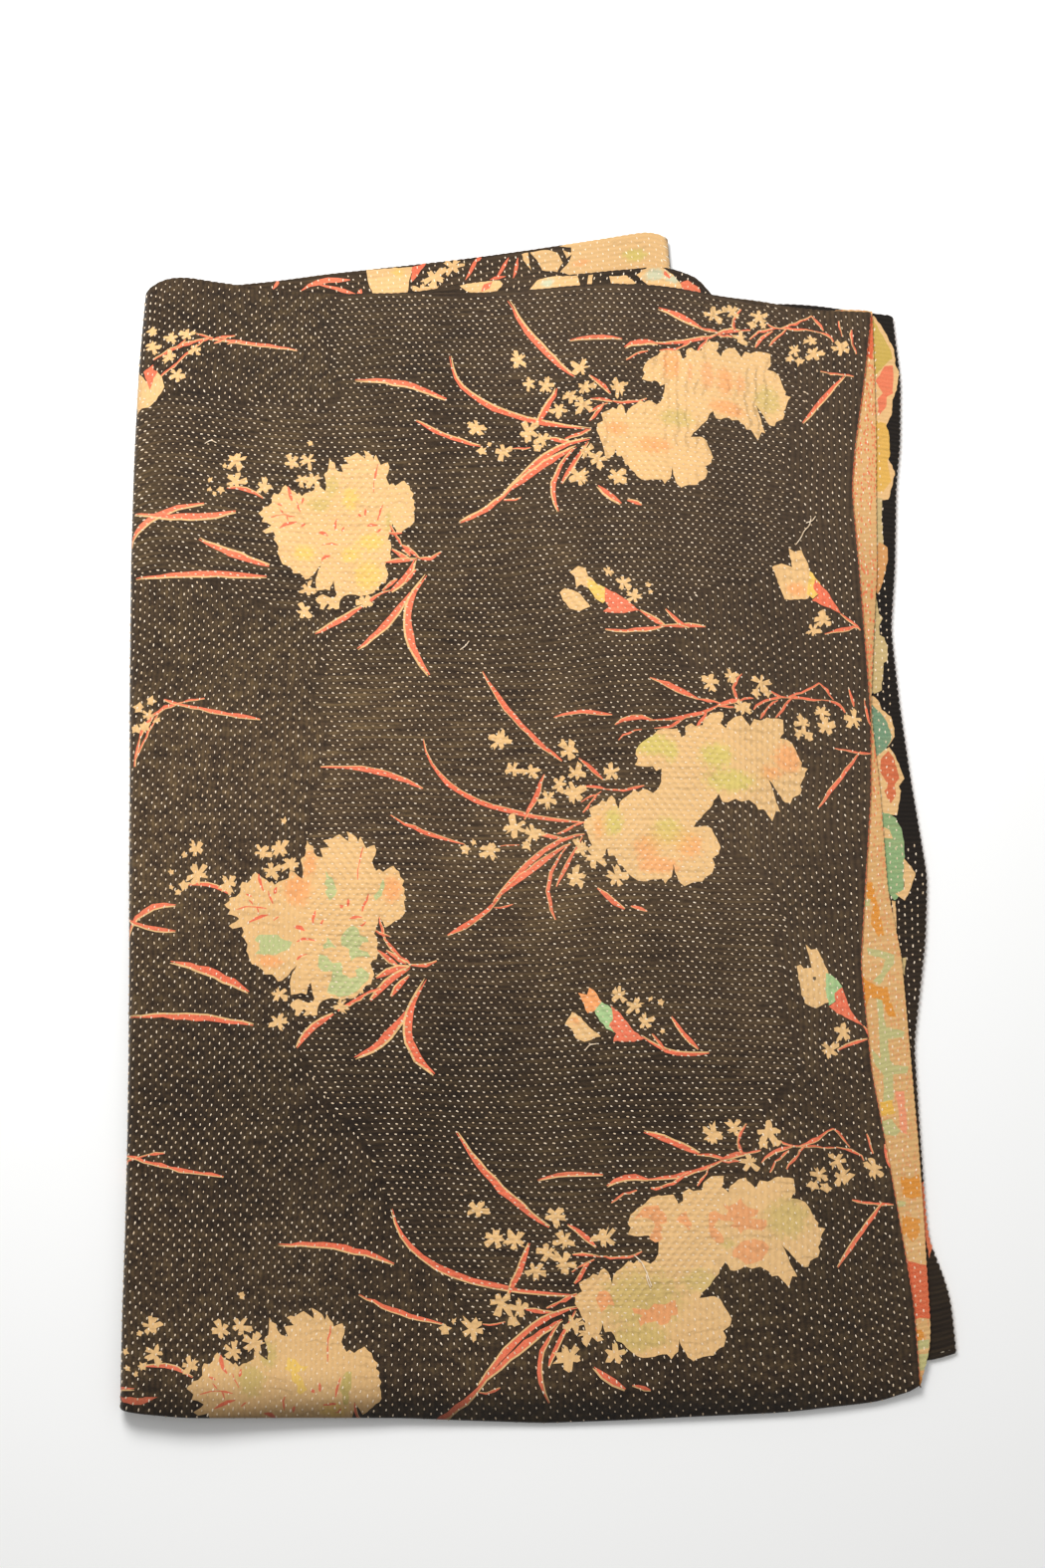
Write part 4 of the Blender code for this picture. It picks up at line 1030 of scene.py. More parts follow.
@dataclass
class FlowerPrint:
    """The print of one cloth: filled shapes in the order in which they are laid down, and soft washes."""

    stack: FoldedStack
    shapes: list[Shape] = field(default_factory=list)
    washes: list[Wash] = field(default_factory=list)
    draw: np.random.Generator = field(default_factory=lambda: np.random.default_rng(SEED + 3))
    petals: int = 5
    plain_star: float = 6  # radius, in millimetres, up to which a star has plain petals
    petal_lengths: Pair = (0.72, 1.22)
    petal_skew: float = 7
    corner_skew: float = 4
    corner_reach: float = 0.09
    twig_width: float = 3.3  # width, in millimetres, below which a leaf is a twig
    leaf_steps: tuple[int, int] = (3, 11)
    full_wander: float = 0.006
    leaf_half: float = 0.46
    thinnest_half: float = 0.0003
    left_edged: float = 0.35  # share of leaves with their pale edge on the left
    blot_step: float = 0.0038
    blot_fray: float = 0.0004

    def lay(self, outline: Array, ink: Ink, spot: Spot = TOP_LAYER) -> None:
        """Lay one shape.

        Args:
            outline: its corners, as they are seen from above.
            ink: its colour.
            spot: the panel and the leaf on which it lies.
        """
        flat = self.stack.flat_of(outline, *spot)
        following = np.roll(flat, -1, axis=0)
        area = np.sum(flat[:, 0] * following[:, 1] - following[:, 0] * flat[:, 1])
        self.shapes.append(Shape(flat if area > 0 else flat[::-1], ink))

    def stars(self, rows: Iterable[tuple[float, ...]], placing: Placing = Placing(), spot: Spot = TOP_LAYER) -> None:
        """Lay small ragged flowers of five petals.

        Args:
            rows: place and radius of each, in millimetres.
            placing: where the spray lies.
            spot: the panel and the leaf on which it lies.
        """
        apart = 360 / self.petals
        for x, y, size in rows:
            start, points = self.draw.uniform(0, apart), []
            for petal in range(self.petals):
                length, skew = size * self.draw.uniform(*self.petal_lengths), self.draw.normal(0, self.petal_skew)
                for angle, share in PETAL if size > self.plain_star else PLAIN_PETAL:
                    turned = math.radians(start + apart * petal + angle + skew + self.draw.normal(0, self.corner_skew))
                    points.append((turned, length * (share + self.draw.normal(0, self.corner_reach))))
            turned, reach = np.array(sorted(points)).T
            outline = np.stack([x + reach * np.cos(turned), y + reach * np.sin(turned)], axis=1)
            self.lay(placing.put(outline), Ink.CREAM, spot)

    def leaves(self, rows: Iterable[tuple[float, ...]], placing: Placing = Placing(), edged: bool = True,
               spot: Spot = TOP_LAYER) -> None:
        """Lay narrow pointed leaves and barbed twigs, with a thin pale edge along one side.

        Args:
            rows: start, bend, end and width of each, in millimetres.
            placing: where the spray lies, and how wide the edges are.
            edged: whether they have the pale edge.
            spot: the panel and the leaf on which they lie.
        """
        for row in rows:
            start, bend, end = placing.put([row[i : i + 2] for i in (0, 2, 4)])
            width, cut = MM * row[6], TWIG_CUT if row[6] < self.twig_width else LEAF_CUT
            length = np.linalg.norm(end - start)
            steps = int(np.clip(length / cut.step, *self.leaf_steps))
            wander = min(1.0, length / steps / self.full_wander) * cut.wander
            share = np.linspace(0, 1, steps + 1)[:, None]
            spine = (1 - share) ** 2 * start + 2 * share * (1 - share) * bend + share**2 * end
            spine[1:-1] += self.draw.normal(0, wander, (steps - 1, 2))
            along = np.gradient(spine, axis=0)
            normal = unit(np.stack([-along[:, 1], along[:, 0]], axis=1))
            bulge = np.sin(math.pi * np.linspace(0.03, 0.97, steps + 1) ** 1.2)[:, None] ** cut.roundness
            half = self.leaf_half * width * bulge * (1 + self.draw.normal(0, cut.fray, (steps + 1, 1)))
            half = np.maximum(half, self.thinnest_half)
            if edged:
                side = 1 if self.draw.random() < self.left_edged else -1
                lean = placing.edge * width * normal * side
                pale = np.vstack([spine + lean + half * normal, (spine + lean - half * normal)[::-1]])
                self.lay(pale, Ink.CREAM, spot)
            self.lay(np.vstack([spine + half * normal, (spine - half * normal)[::-1]]), Ink.CORAL, spot)

    def blots(self, rows: Iterable[tuple], placing: Placing = Placing(), spot: Spot = TOP_LAYER) -> None:
        """Lay flowers, petals and blocks of colour with ragged edges.

        Args:
            rows: an ink and then the corners of each outline in it, in millimetres.
            placing: where the spray lies.
            spot: the panel and the leaf on which it lies.
        """
        for ink, numbers in ((row[0], outline) for row in rows for outline in row[1:]):
            corners = placing.put(np.array(numbers, float).reshape(-1, 2))
            outline = []
            for start, end in zip(corners, np.roll(corners, -1, axis=0)):
                length = np.linalg.norm(end - start)
                count = max(1, round(length / self.blot_step))
                run = start + np.linspace(0, 1, count, endpoint=False)[:, None] * (end - start)
                side = np.array((start[1] - end[1], end[0] - start[0])) / length
                run[1:] += self.draw.normal(0, self.blot_fray, (count - 1, 1)) * side
                outline.append(run)
            self.lay(np.vstack(outline), ink, spot)

    def wash(self, rows: Iterable[tuple], spot: Spot) -> None:
        """Add soft patches of colour.

        Args:
            rows: an ink and then place, half width and half height of each patch in it, in millimetres.
            spot: the panel and the leaf on which they lie.
        """
        for ink, (x, y, half_x, half_y) in ((row[0], patch) for row in rows for patch in row[1:]):
            flat = self.stack.flat_of(np.array([[MM * x, MM * y]]), *spot)[0]
            self.washes.append(Wash(flat[0], flat[1], MM * half_x, MM * half_y, ink))

    def right_spray(self, flower: Placing, leaves: Placing) -> None:
        """Lay the leaves and stars about a wide flower, and the flower.

        Args:
            flower: where the flower lies.
            leaves: where its leaves and stars lie.
        """
        self.leaves(RIGHT_LEAVES, leaves)
        self.stars(RIGHT_STARS, leaves)
        self.blots(RIGHT_FLOWER, flower)

    def left_spray(self, placing: Placing) -> None:
        """Lay the leaves and stars about a round flower, and the flower.

        Args:
            placing: where the spray lies.
        """
        self.leaves(LEFT_LEAVES, placing)
        self.stars(LEFT_STARS, placing)
        self.left_flower(placing)

    def left_flower(self, placing: Placing) -> None:
        """Lay the round flower with short strokes on its petals."""
        self.blots(LEFT_FLOWER, placing)
        self.leaves(LEFT_STROKES, placing, edged=False)

    def repeat(self, shift: Pair) -> None:
        """Lay everything once more, further along the cloth.

        Args:
            shift: how far, in flat u and v.
        """
        step = np.array(shift)
        self.shapes.extend([Shape(shape.outline + step, shape.ink) for shape in self.shapes])
        self.washes.extend([wash._replace(x=wash.x + shift[0], y=wash.y + shift[1]) for wash in self.washes])


def front_print(stack: FoldedStack) -> FlowerPrint:
    """Lay the front cloth's flowers on the top layer and on the strips that show beside it.

    Args:
        stack: the folded quilt.

    Returns:
        The print of the front cloth.
    """
    cloth = FlowerPrint(stack)
    for flower, leaves in SPRAYS_RIGHT:
        cloth.right_spray(flower, leaves)
    for placing in SPRAYS_LEFT:
        cloth.left_spray(placing)
    cloth.left_flower(UPPER_LEFT)
    for placing in SPRAYS_EDGE:
        cloth.leaves(EDGE_TWIGS, placing)
        cloth.stars(EDGE_STARS, placing)
    cloth.leaves(LOOSE_LEAVES)
    cloth.stars(LOOSE_STARS)
    cloth.blots(PETAL_PATCHES)
    cloth.blots(TOP_BLOTS)
    cloth.wash(TOP_WASHES, TOP_LAYER)
    cloth.repeat(PRINT_REPEAT)
    cloth.leaves(UPPER_LEAVES, edged=False, spot=UPPER_STRIP)
    cloth.stars(UPPER_STARS, spot=UPPER_STRIP)
    for blots, spot in ((UPPER_BLOTS, UPPER_STRIP), (MIDDLE_BLOTS, SIDE_STRIP), (SIDE_BLOTS, SIDE_STRIP)):
        cloth.blots(blots, spot=spot)
    cloth.wash(UPPER_WASHES, UPPER_STRIP)
    cloth.wash(MIDDLE_WASHES, SIDE_STRIP)
    return cloth


def back_print(stack: FoldedStack) -> FlowerPrint:
    """Lay the back cloth's strokes and blocks of colour in the strip beside the top layer.

    Args:
        stack: the folded quilt.

    Returns:
        The print of the back cloth.
    """
    cloth = FlowerPrint(stack)
    cloth.blots(BACK_BLOTS, spot=BACK_STRIP)
    return cloth


# === Cloth sheets ===

# The parts of each cloth that show beside and beyond the top layer.
SHOWN_DARK = (
    Box(Panel.SECOND, Leaf.FAR, 0.325, 0.400, -0.56, 0.53), Box(Panel.SECOND, Leaf.FAR, -0.10, 0.33, 0.525, 0.58),
    Box(Panel.THIRD, Leaf.NEAR, -0.33, 0.15, 0.535, 0.62),
)
SHOWN_PALE = (Box(Panel.FIRST, Leaf.FAR, 0.315, 0.385, -0.58, 0.53),)

# Each turn's first and last fold line, and the steps round it.
TURNS = ((0, 1, 10), (2, 3, 6), (4, 5, 6))


@dataclass
class ClothSheet:
    """One cloth of the quilt as a thin sheet, its hems rolled in to meet the other cloth."""

    name: str
    stack: FoldedStack
    side: int  # 1 for the front cloth, -1 for the back cloth
    print: FlowerPrint
    coarse: float = 0.024
    fine: float = 0.0045
    hem_step: float = 0.0025
    scallop: float = 0.0008
    deep_scallop: float = 0.0020  # along the hem that lies at the left
    scallop_pitch: float = 0.0076
    hem_bulge: float = 0.0006
    hem_rows: int = 2
    turn_step: float = 0.010
    bottom_steps: int = 7
    across_step: float = 0.0078
    right_reach: float = 0.356
    grid_reach: Pair = (0.05, 0.42)
    fold_clear: float = 0.001
    fine_clear: float = 0.004
    ends_clear: Pair = (0.003, 0.002)  # from the bottom fold and the top hem to the nearest rows of points
    deep_reach: float = 0.002
    slopes_left: float = -0.409
    slopes_right: float = 0.36
    slopes_clear: Pair = (0.002, 0.001)
    slopes: tuple[float, float, float] = (0.125, 0.5, 1.12)  # start, step and distance along, for the rows' slopes
    seam_clear: float = 0.0015
    merge: float = 1e-7
    flat_near: tuple[float, float, float, float] = (0.006, 0.004, 0.008, 0.004)  # bottom, top, left fold, side hem
    fold_lap: float = 0.002
    probe: float = 0.0003
    petal_ink: float = 1.0  # alpha of an ink that takes washes
    plain_ink: float = 0.8
    under_edge: float = 0.006  # how far above the left turn's lower end the stitches stop
    strip_rows: tuple[float, float, float] = (0.31, 0.73, 0.52)  # where the strips' own stitches start
    strip_edge: float = 0.002
    crossed_from: Pair = (-0.45, 0.003)  # u, and how far past the bottom fold
    wash_falloff: float = 1.1

    @property
    def offset(self) -> float:
        """Distance of the printed face from the quilt's middle."""
        return self.side * self.stack.sizes.skin

    def outline(self) -> Array:
        """Draw the hems, with the small scallops of the hem stitches.

        Returns:
            (N, 2) array of flat places, anticlockwise.
        """
        stack = self.stack
        down = np.arange(stack.TOP, stack.far_end, -self.hem_step)
        right = np.stack([stack.hem(Panel.FIRST, down), down], axis=1)
        left = np.stack([stack.hem(Panel.SECOND, down), down], axis=1)
        top, bottom = (np.linspace(left[row], right[row], int((right[row, 0] - left[row, 0]) / self.hem_step))
                       for row in (0, -1))
        loop = np.vstack([right[::-1], top[::-1][1:-1], left, bottom[1:-1]])
        along = unit(np.roll(loop, -1, axis=0) - np.roll(loop, 1, axis=0))
        outward = np.stack([along[:, 1], -along[:, 0]], axis=1)
        run = np.cumsum(np.linalg.norm(loop - np.roll(loop, 1, axis=0), axis=1))
        bump = np.abs(np.sin(math.pi * run / self.scallop_pitch)) - 0.5
        deep = np.where(loop[:, 0] < left[:, 0].max() + self.deep_reach, self.deep_scallop, self.scallop)
        return loop + (deep * bump)[:, None] * outward

    def ladder(self) -> Array:
        """Choose places for rows of points.

        Returns:
            Values of v, even along the leaves and close over the bottom fold.
        """
        stack = self.stack
        near = np.arange(stack.BOTTOM + self.ends_clear[0], stack.TOP - self.ends_clear[1], self.turn_step)
        return np.concatenate([near, self.bottom_fold(), 2 * stack.BOTTOM - stack.fold_length - near])

    def bottom_fold(self) -> Array:
        """Values of v round the bottom fold."""
        return self.stack.BOTTOM - np.linspace(0, self.stack.fold_length, self.bottom_steps)

    def left_hem(self, v: float) -> float:
        """Flat u of the second panel's hem at one place."""
        return self.stack.hem(Panel.SECOND, np.array([v]))[0]

    def fold_lines(self) -> list[Array]:
        """Draw lines along every turn, close enough to bend round.

        Returns:
            The lines, each as an (N, 2) array of flat places.
        """
        rows = np.sort(self.ladder())
        folds = self.stack.folds(self.stack.level_of(rows))
        lines = []
        for start, end, steps in TURNS:
            for share in np.linspace(0, 1, steps + 1):
                lines.append(np.stack([folds[start] + share * (folds[end] - folds[start]), rows], axis=1))
        across = np.arange(self.left_hem(self.stack.BOTTOM) + self.fine_clear, self.right_reach, self.across_step)
        lines.extend(np.stack([across, np.full_like(across, v)], axis=1) for v in self.bottom_fold())
        return lines

    def spread(self) -> Array:
        """Spread loose points over the flat runs, coarse where out of sight and fine in the strips that show.

        Returns:
            (N, 2) array of flat places.
        """
        stack = self.stack
        points = []
        u = np.arange(self.left_hem(0.0) - self.grid_reach[0], self.grid_reach[1], self.coarse)
        v = np.arange(stack.far_end, stack.TOP, self.coarse)
        grid = np.stack(np.meshgrid(u, v), axis=-1).reshape(-1, 2)
        if self.side > 0:
            left = stack.folds(stack.level_of(grid[:, 1]))[0]
            grid = grid[(grid[:, 0] <= left - self.fine_clear) | (grid[:, 1] <= stack.BOTTOM - self.fine_clear)]
            points.extend(self.top_layer())
        flat = np.vstack([*points, grid, *self.strips()])
        keep = np.ones(len(flat), bool)
        folds = stack.folds(stack.level_of(flat[:, 1]))
        clear = self.fold_clear
        for start, end, _ in TURNS:
            keep &= ~((flat[:, 0] < folds[start] + clear) & (flat[:, 0] > folds[end] - clear))
        keep &= ~((flat[:, 1] < stack.BOTTOM + clear) & (flat[:, 1] > stack.BOTTOM - stack.fold_length - clear))
        return flat[keep]

    def top_layer(self) -> list[Array]:
        """Draw the top layer's points, two lines of them to each row of stitches, on the slopes of its relief.

        Returns:
            Flat places for the cross rows and for the side rows.
        """
        low = (self.slopes_left, self.stack.BOTTOM + self.slopes_clear[0])
        high = (self.slopes_right, self.stack.TOP - self.slopes_clear[1])
        cross, side = (ROWS.row_points(low, high, kind, *self.slopes) for kind in (True, False))
        return [cross[ROWS.inside_cross(cross) > self.seam_clear], side[ROWS.inside_cross(side) < -self.seam_clear]]

    def strips(self) -> list[Array]:
        """Draw the points of the narrow strips that show beside and beyond the top layer.

        Returns:
            Flat places for each strip.
        """
        points = []
        for box in SHOWN_PALE if self.side < 0 else SHOWN_DARK:
            x, y = np.arange(box.left, box.right, self.fine), np.arange(box.bottom, box.top, self.fine)
            grid = np.stack(np.meshgrid(x, y), axis=-1).reshape(-1, 2)
            points.append(self.stack.flat_of(grid, box.panel, box.leaf))
        return points

    def triangulate(self) -> tuple[Array, Array, Array]:
        """Join outline, shapes, fold lines and loose points into triangles.

        Returns:
            Flat points (N, 2), triangles (M, 3) anticlockwise, and for each triangle the last shape laid there,
            counted from 1, or 0 for bare cloth.
        """
        points, faces, edges = [], [], []
        count = 0
        for loop in (self.outline(), *(shape.outline for shape in self.print.shapes)):
            points.append(loop)
            faces.append(list(range(count, count + len(loop))))
            count += len(loop)
        for line in self.fold_lines():
            points.append(line)
            edges.extend((count + index, count + index + 1) for index in range(len(line) - 1))
            count += len(line)
        points.append(self.spread())
        corners = [Vector(point) for point in np.vstack(points)]
        found, _, triangles, _, _, sources = delaunay_2d_cdt(corners, edges, faces, 0, self.merge, True)
        inside = [index for index, source in enumerate(sources) if 0 in source]
        shape = np.array([max(sources[index]) for index in inside])
        used, numbered = np.unique(np.array([triangles[index] for index in inside]), return_inverse=True)
        return np.array([found[index][:] for index in used]), numbered.reshape(-1, 3), shape

    def relief(self, flat: Array) -> Array:
        """Find the printed face's offset from the quilt's middle.

        Args:
            flat: (N, 2) flat places.

        Returns:
            The offset at each, with the relief between the rows on the top layer.
        """
        if self.side < 0:
            return np.full(len(flat), self.offset)
        left = self.stack.folds(self.stack.level_of(flat[:, 1]))[0]
        hem = self.stack.hem(Panel.FIRST, flat[:, 1])
        low, high, fold, side = self.flat_near
        shown = soft_step((flat[:, 1] - self.stack.BOTTOM) / low) * soft_step((self.stack.TOP - flat[:, 1]) / high)
        shown *= soft_step((flat[:, 0] - left + self.fold_lap) / fold) * soft_step((hem - flat[:, 0]) / side)
        return self.offset + shown * ROWS.relief(flat[:, 0], flat[:, 1])

    def placed(self, flat: Array) -> tuple[Array, Array]:
        """Place flat points on the printed face.

        Args:
            flat: (N, 2) flat places.

        Returns:
            Their places, and the directions that the face looks in there.
        """
        here = self.stack.place(flat, self.relief(flat))
        moves = ((self.probe, 0), (0, self.probe))
        along = [self.stack.place(flat + move, self.relief(flat + move)) - here for move in moves]
        return here, unit(np.cross(along[0], along[1]) * self.side)

    def rim(self, flat: Array, triangles: Array) -> tuple[Array, Array, Array]:
        """Find the sheet's edge.

        Args:
            flat: (N, 2) flat places.
            triangles: the sheet's triangles.

        Returns:
            The (M, 2) sides that belong to one triangle only, those triangles' numbers, and the sides' own outward
            directions on the flat quilt.
        """
        sides = np.vstack([triangles[:, [0, 1]], triangles[:, [1, 2]], triangles[:, [2, 0]]])
        owner = np.tile(np.arange(len(triangles)), 3)
        key, opposite = (
            sides[:, a].astype(np.int64) * (len(flat) + 1) + sides[:, b] for a, b in ((0, 1), (1, 0)))
        edge = ~np.isin(key, opposite)
        sides, owner = sides[edge], owner[edge]
        run = flat[sides[:, 1]] - flat[sides[:, 0]]
        return sides, owner, unit(np.stack([run[:, 1], -run[:, 0]], axis=1))

    def hem_strip(self, flat: Array, triangles: Array) -> tuple[Array, ...]:
        """Roll the sheet's edge in to the quilt's middle.

        Args:
            flat: (N, 2) flat places.
            triangles: the sheet's triangles.

        Returns:
            Flat points of the strip, its places, its directions, its triangles, and the triangle of the sheet that
            each one goes on from.
        """
        sides, owner, away = self.rim(flat, triangles)
        rim = np.unique(sides)
        rank = {corner: index for index, corner in enumerate(rim)}
        start = [[rank[corner] for corner in sides[:, column]] for column in (0, 1)]
        outward = np.zeros((len(rim), 2))
        for ends in start:
            np.add.at(outward, ends, away)
        outward /= np.maximum(np.linalg.norm(outward, axis=1), 1e-9)[:, None]
        base = flat[rim]
        _, facing = self.placed(base)
        out = unit(self.stack.place(base + MM * outward, self.offset) - self.stack.place(base, self.offset))
        flats, places, looks, joined = [], [], [], []
        for row in range(1, self.hem_rows + 1):
            turned = math.pi / 2 * row / self.hem_rows
            moved = base + self.hem_bulge * math.sin(turned) * outward
            flats.append(moved)
            places.append(self.stack.place(moved, self.offset * math.cos(turned)))
            looks.append(math.cos(turned) * facing + math.sin(turned) * out)
            fresh = [len(flat) + (row - 1) * len(rim) + np.array(ends) for ends in start]
            last = [sides[:, 0], sides[:, 1]] if row == 1 else [ends - len(rim) for ends in fresh]
            joined.append(np.stack([last[1], last[0], fresh[0]], axis=1))
            joined.append(np.stack([last[1], fresh[0], fresh[1]], axis=1))
        strips = tuple(np.vstack(rows) for rows in (flats, places, looks, joined))
        return (*strips, np.tile(owner, 2 * self.hem_rows))

    def build(self) -> bpy.types.Object:
        """Make the sheet, with its print, its rows and its flat places as attributes for the finish.

        Returns:
            The piece.
        """
        flat, triangles, shape = self.triangulate()
        places, facing = self.placed(flat)
        *strip, owner = self.hem_strip(flat, triangles)
        flat, places, facing, triangles = (
            np.vstack(both) for both in zip((flat, places, facing, triangles), strip))
        shape, facing = np.concatenate([shape, shape[owner]]), unit(facing)
        if self.side < 0:
            triangles = triangles[:, ::-1]
        mesh = mesh_from(self.name, places, triangles)
        inks = [(*shape.ink.linear, self.petal_ink if shape.ink is Ink.CREAM else self.plain_ink)
                for shape in self.print.shapes]
        colours = np.array([(0, 0, 0, 0), *inks], dtype=np.float32)
        add_attribute(mesh, "ink", "FLOAT_COLOR", "CORNER", np.repeat(colours[shape], 3, axis=0))
        layout = mesh.uv_layers.new(name="flat")
        layout.uv.foreach_set("vector", flat[triangles.ravel()].astype(np.float32).ravel())
        counts = ROWS.counts(flat[:, 0], flat[:, 1])
        add_attribute(mesh, "cross_rows", "FLOAT_VECTOR", "POINT", np.column_stack([counts[:, :2], self.crossed(flat)]))
        add_attribute(mesh, "side_rows", "FLOAT_VECTOR", "POINT", np.column_stack([counts[:, 2:], self.sewn(flat)]))
        add_attribute(mesh, "wash", "FLOAT_COLOR", "POINT", self.washes(flat))
        mesh.normals_split_custom_set_from_vertices(facing)
        return put_in_scene(self.name, mesh)

    def crossed(self, flat: Array) -> Array:
        """Find where the rows run across the quilt.

        Args:
            flat: (N, 2) flat places.

        Returns:
            1 where they do and 0 where they run up its sides; the faces out of sight have cross rows alone.
        """
        if self.side < 0:
            return np.ones(len(flat))
        left, past = self.crossed_from
        top = (flat[:, 1] > self.stack.BOTTOM - past) & (flat[:, 0] > left)
        return np.where(top, ROWS.cross_share(flat[:, 0], flat[:, 1]), 1.0)

    def sewn(self, flat: Array) -> Array:
        """Find where the stitches are pieces of their own.

        Args:
            flat: (N, 2) flat places.

        Returns:
            1 where they are and 0 where the finish draws them.
        """
        pale_from, side_from, upper_from = self.strip_rows
        near = flat[:, 1] > self.stack.BOTTOM - self.stack.fold_length
        level = self.stack.level_of(flat[:, 1])
        folds = self.stack.folds(level)
        if self.side < 0:
            return soft_step((flat[:, 0] - pale_from) / self.strip_edge) * ~near
        top = near & (flat[:, 0] > folds[1] + self.under_edge)
        second_far = ~near & (flat[:, 0] < folds[5]) & ((flat[:, 0] < folds[5] - side_from) | (level > upper_from))
        third_near = near & (flat[:, 0] < folds[3]) & (flat[:, 0] > folds[4]) & (level > upper_from)
        return (top | second_far | third_near).astype(float)

    def washes(self, flat: Array) -> Array:
        """Mix the soft patches of the print.

        Args:
            flat: (N, 2) flat places.

        Returns:
            (N, 4) array of their colour and strength.
        """
        total, weight, strongest = np.zeros((len(flat), 3)), np.zeros(len(flat)), np.zeros(len(flat))
        for wash in self.print.washes:
            reach = ((flat[:, 0] - wash.x) / wash.half_x) ** 2 + ((flat[:, 1] - wash.y) / wash.half_y) ** 2
            strength = np.exp(-self.wash_falloff * reach)
            total += strength[:, None] * np.array(wash.ink.linear)
            weight += strength
            strongest = np.maximum(strongest, strength)
        return np.column_stack([total / np.maximum(weight, 1e-6)[:, None], strongest])


def add_attribute(mesh: bpy.types.Mesh, name: str, kind: str, domain: str, values: Array) -> None:
    """Keep values on a mesh, for its finish or its modifier.

    Args:
        mesh: the mesh.
        name: the attribute's name.
        kind: FLOAT, FLOAT_VECTOR or FLOAT_COLOR.
        domain: POINT or CORNER.
        values: one row for each point or corner.
    """
    key = {"FLOAT": "value", "FLOAT_VECTOR": "vector", "FLOAT_COLOR": "color"}[kind]
    mesh.attributes.new(name, kind, domain).data.foreach_set(key, values.astype(np.float32).ravel())


def mesh_from(name: str, places: Array, triangles: Array) -> bpy.types.Mesh:
    """Make a smooth mesh of triangles.

    Args:
        name: the mesh's name.
        places: (N, 3) corners.
        triangles: (M, 3) corner numbers.

    Returns:
        The mesh.
    """
    mesh = bpy.data.meshes.new(name)
    mesh.vertices.add(len(places))
    mesh.vertices.foreach_set("co", places.astype(np.float32).ravel())
    mesh.loops.add(3 * len(triangles))
    mesh.loops.foreach_set("vertex_index", triangles.astype(np.int32).ravel())
    mesh.polygons.add(len(triangles))
    mesh.polygons.foreach_set("loop_start", np.arange(0, 3 * len(triangles), 3, dtype=np.int32))
    mesh.update(calc_edges=True)
    mesh.shade_smooth()
    return mesh


def put_in_scene(name: str, data: bpy.types.ID) -> bpy.types.Object:
    """Link a mesh, a light or a camera to the scene.

    Args:
        name: the object's name.
        data: what it holds.

    Returns:
        The object, at the origin.
    """
    piece = bpy.data.objects.new(name, data)
    bpy.context.scene.collection.objects.link(piece)
    return piece


# === Stitches and threads ===


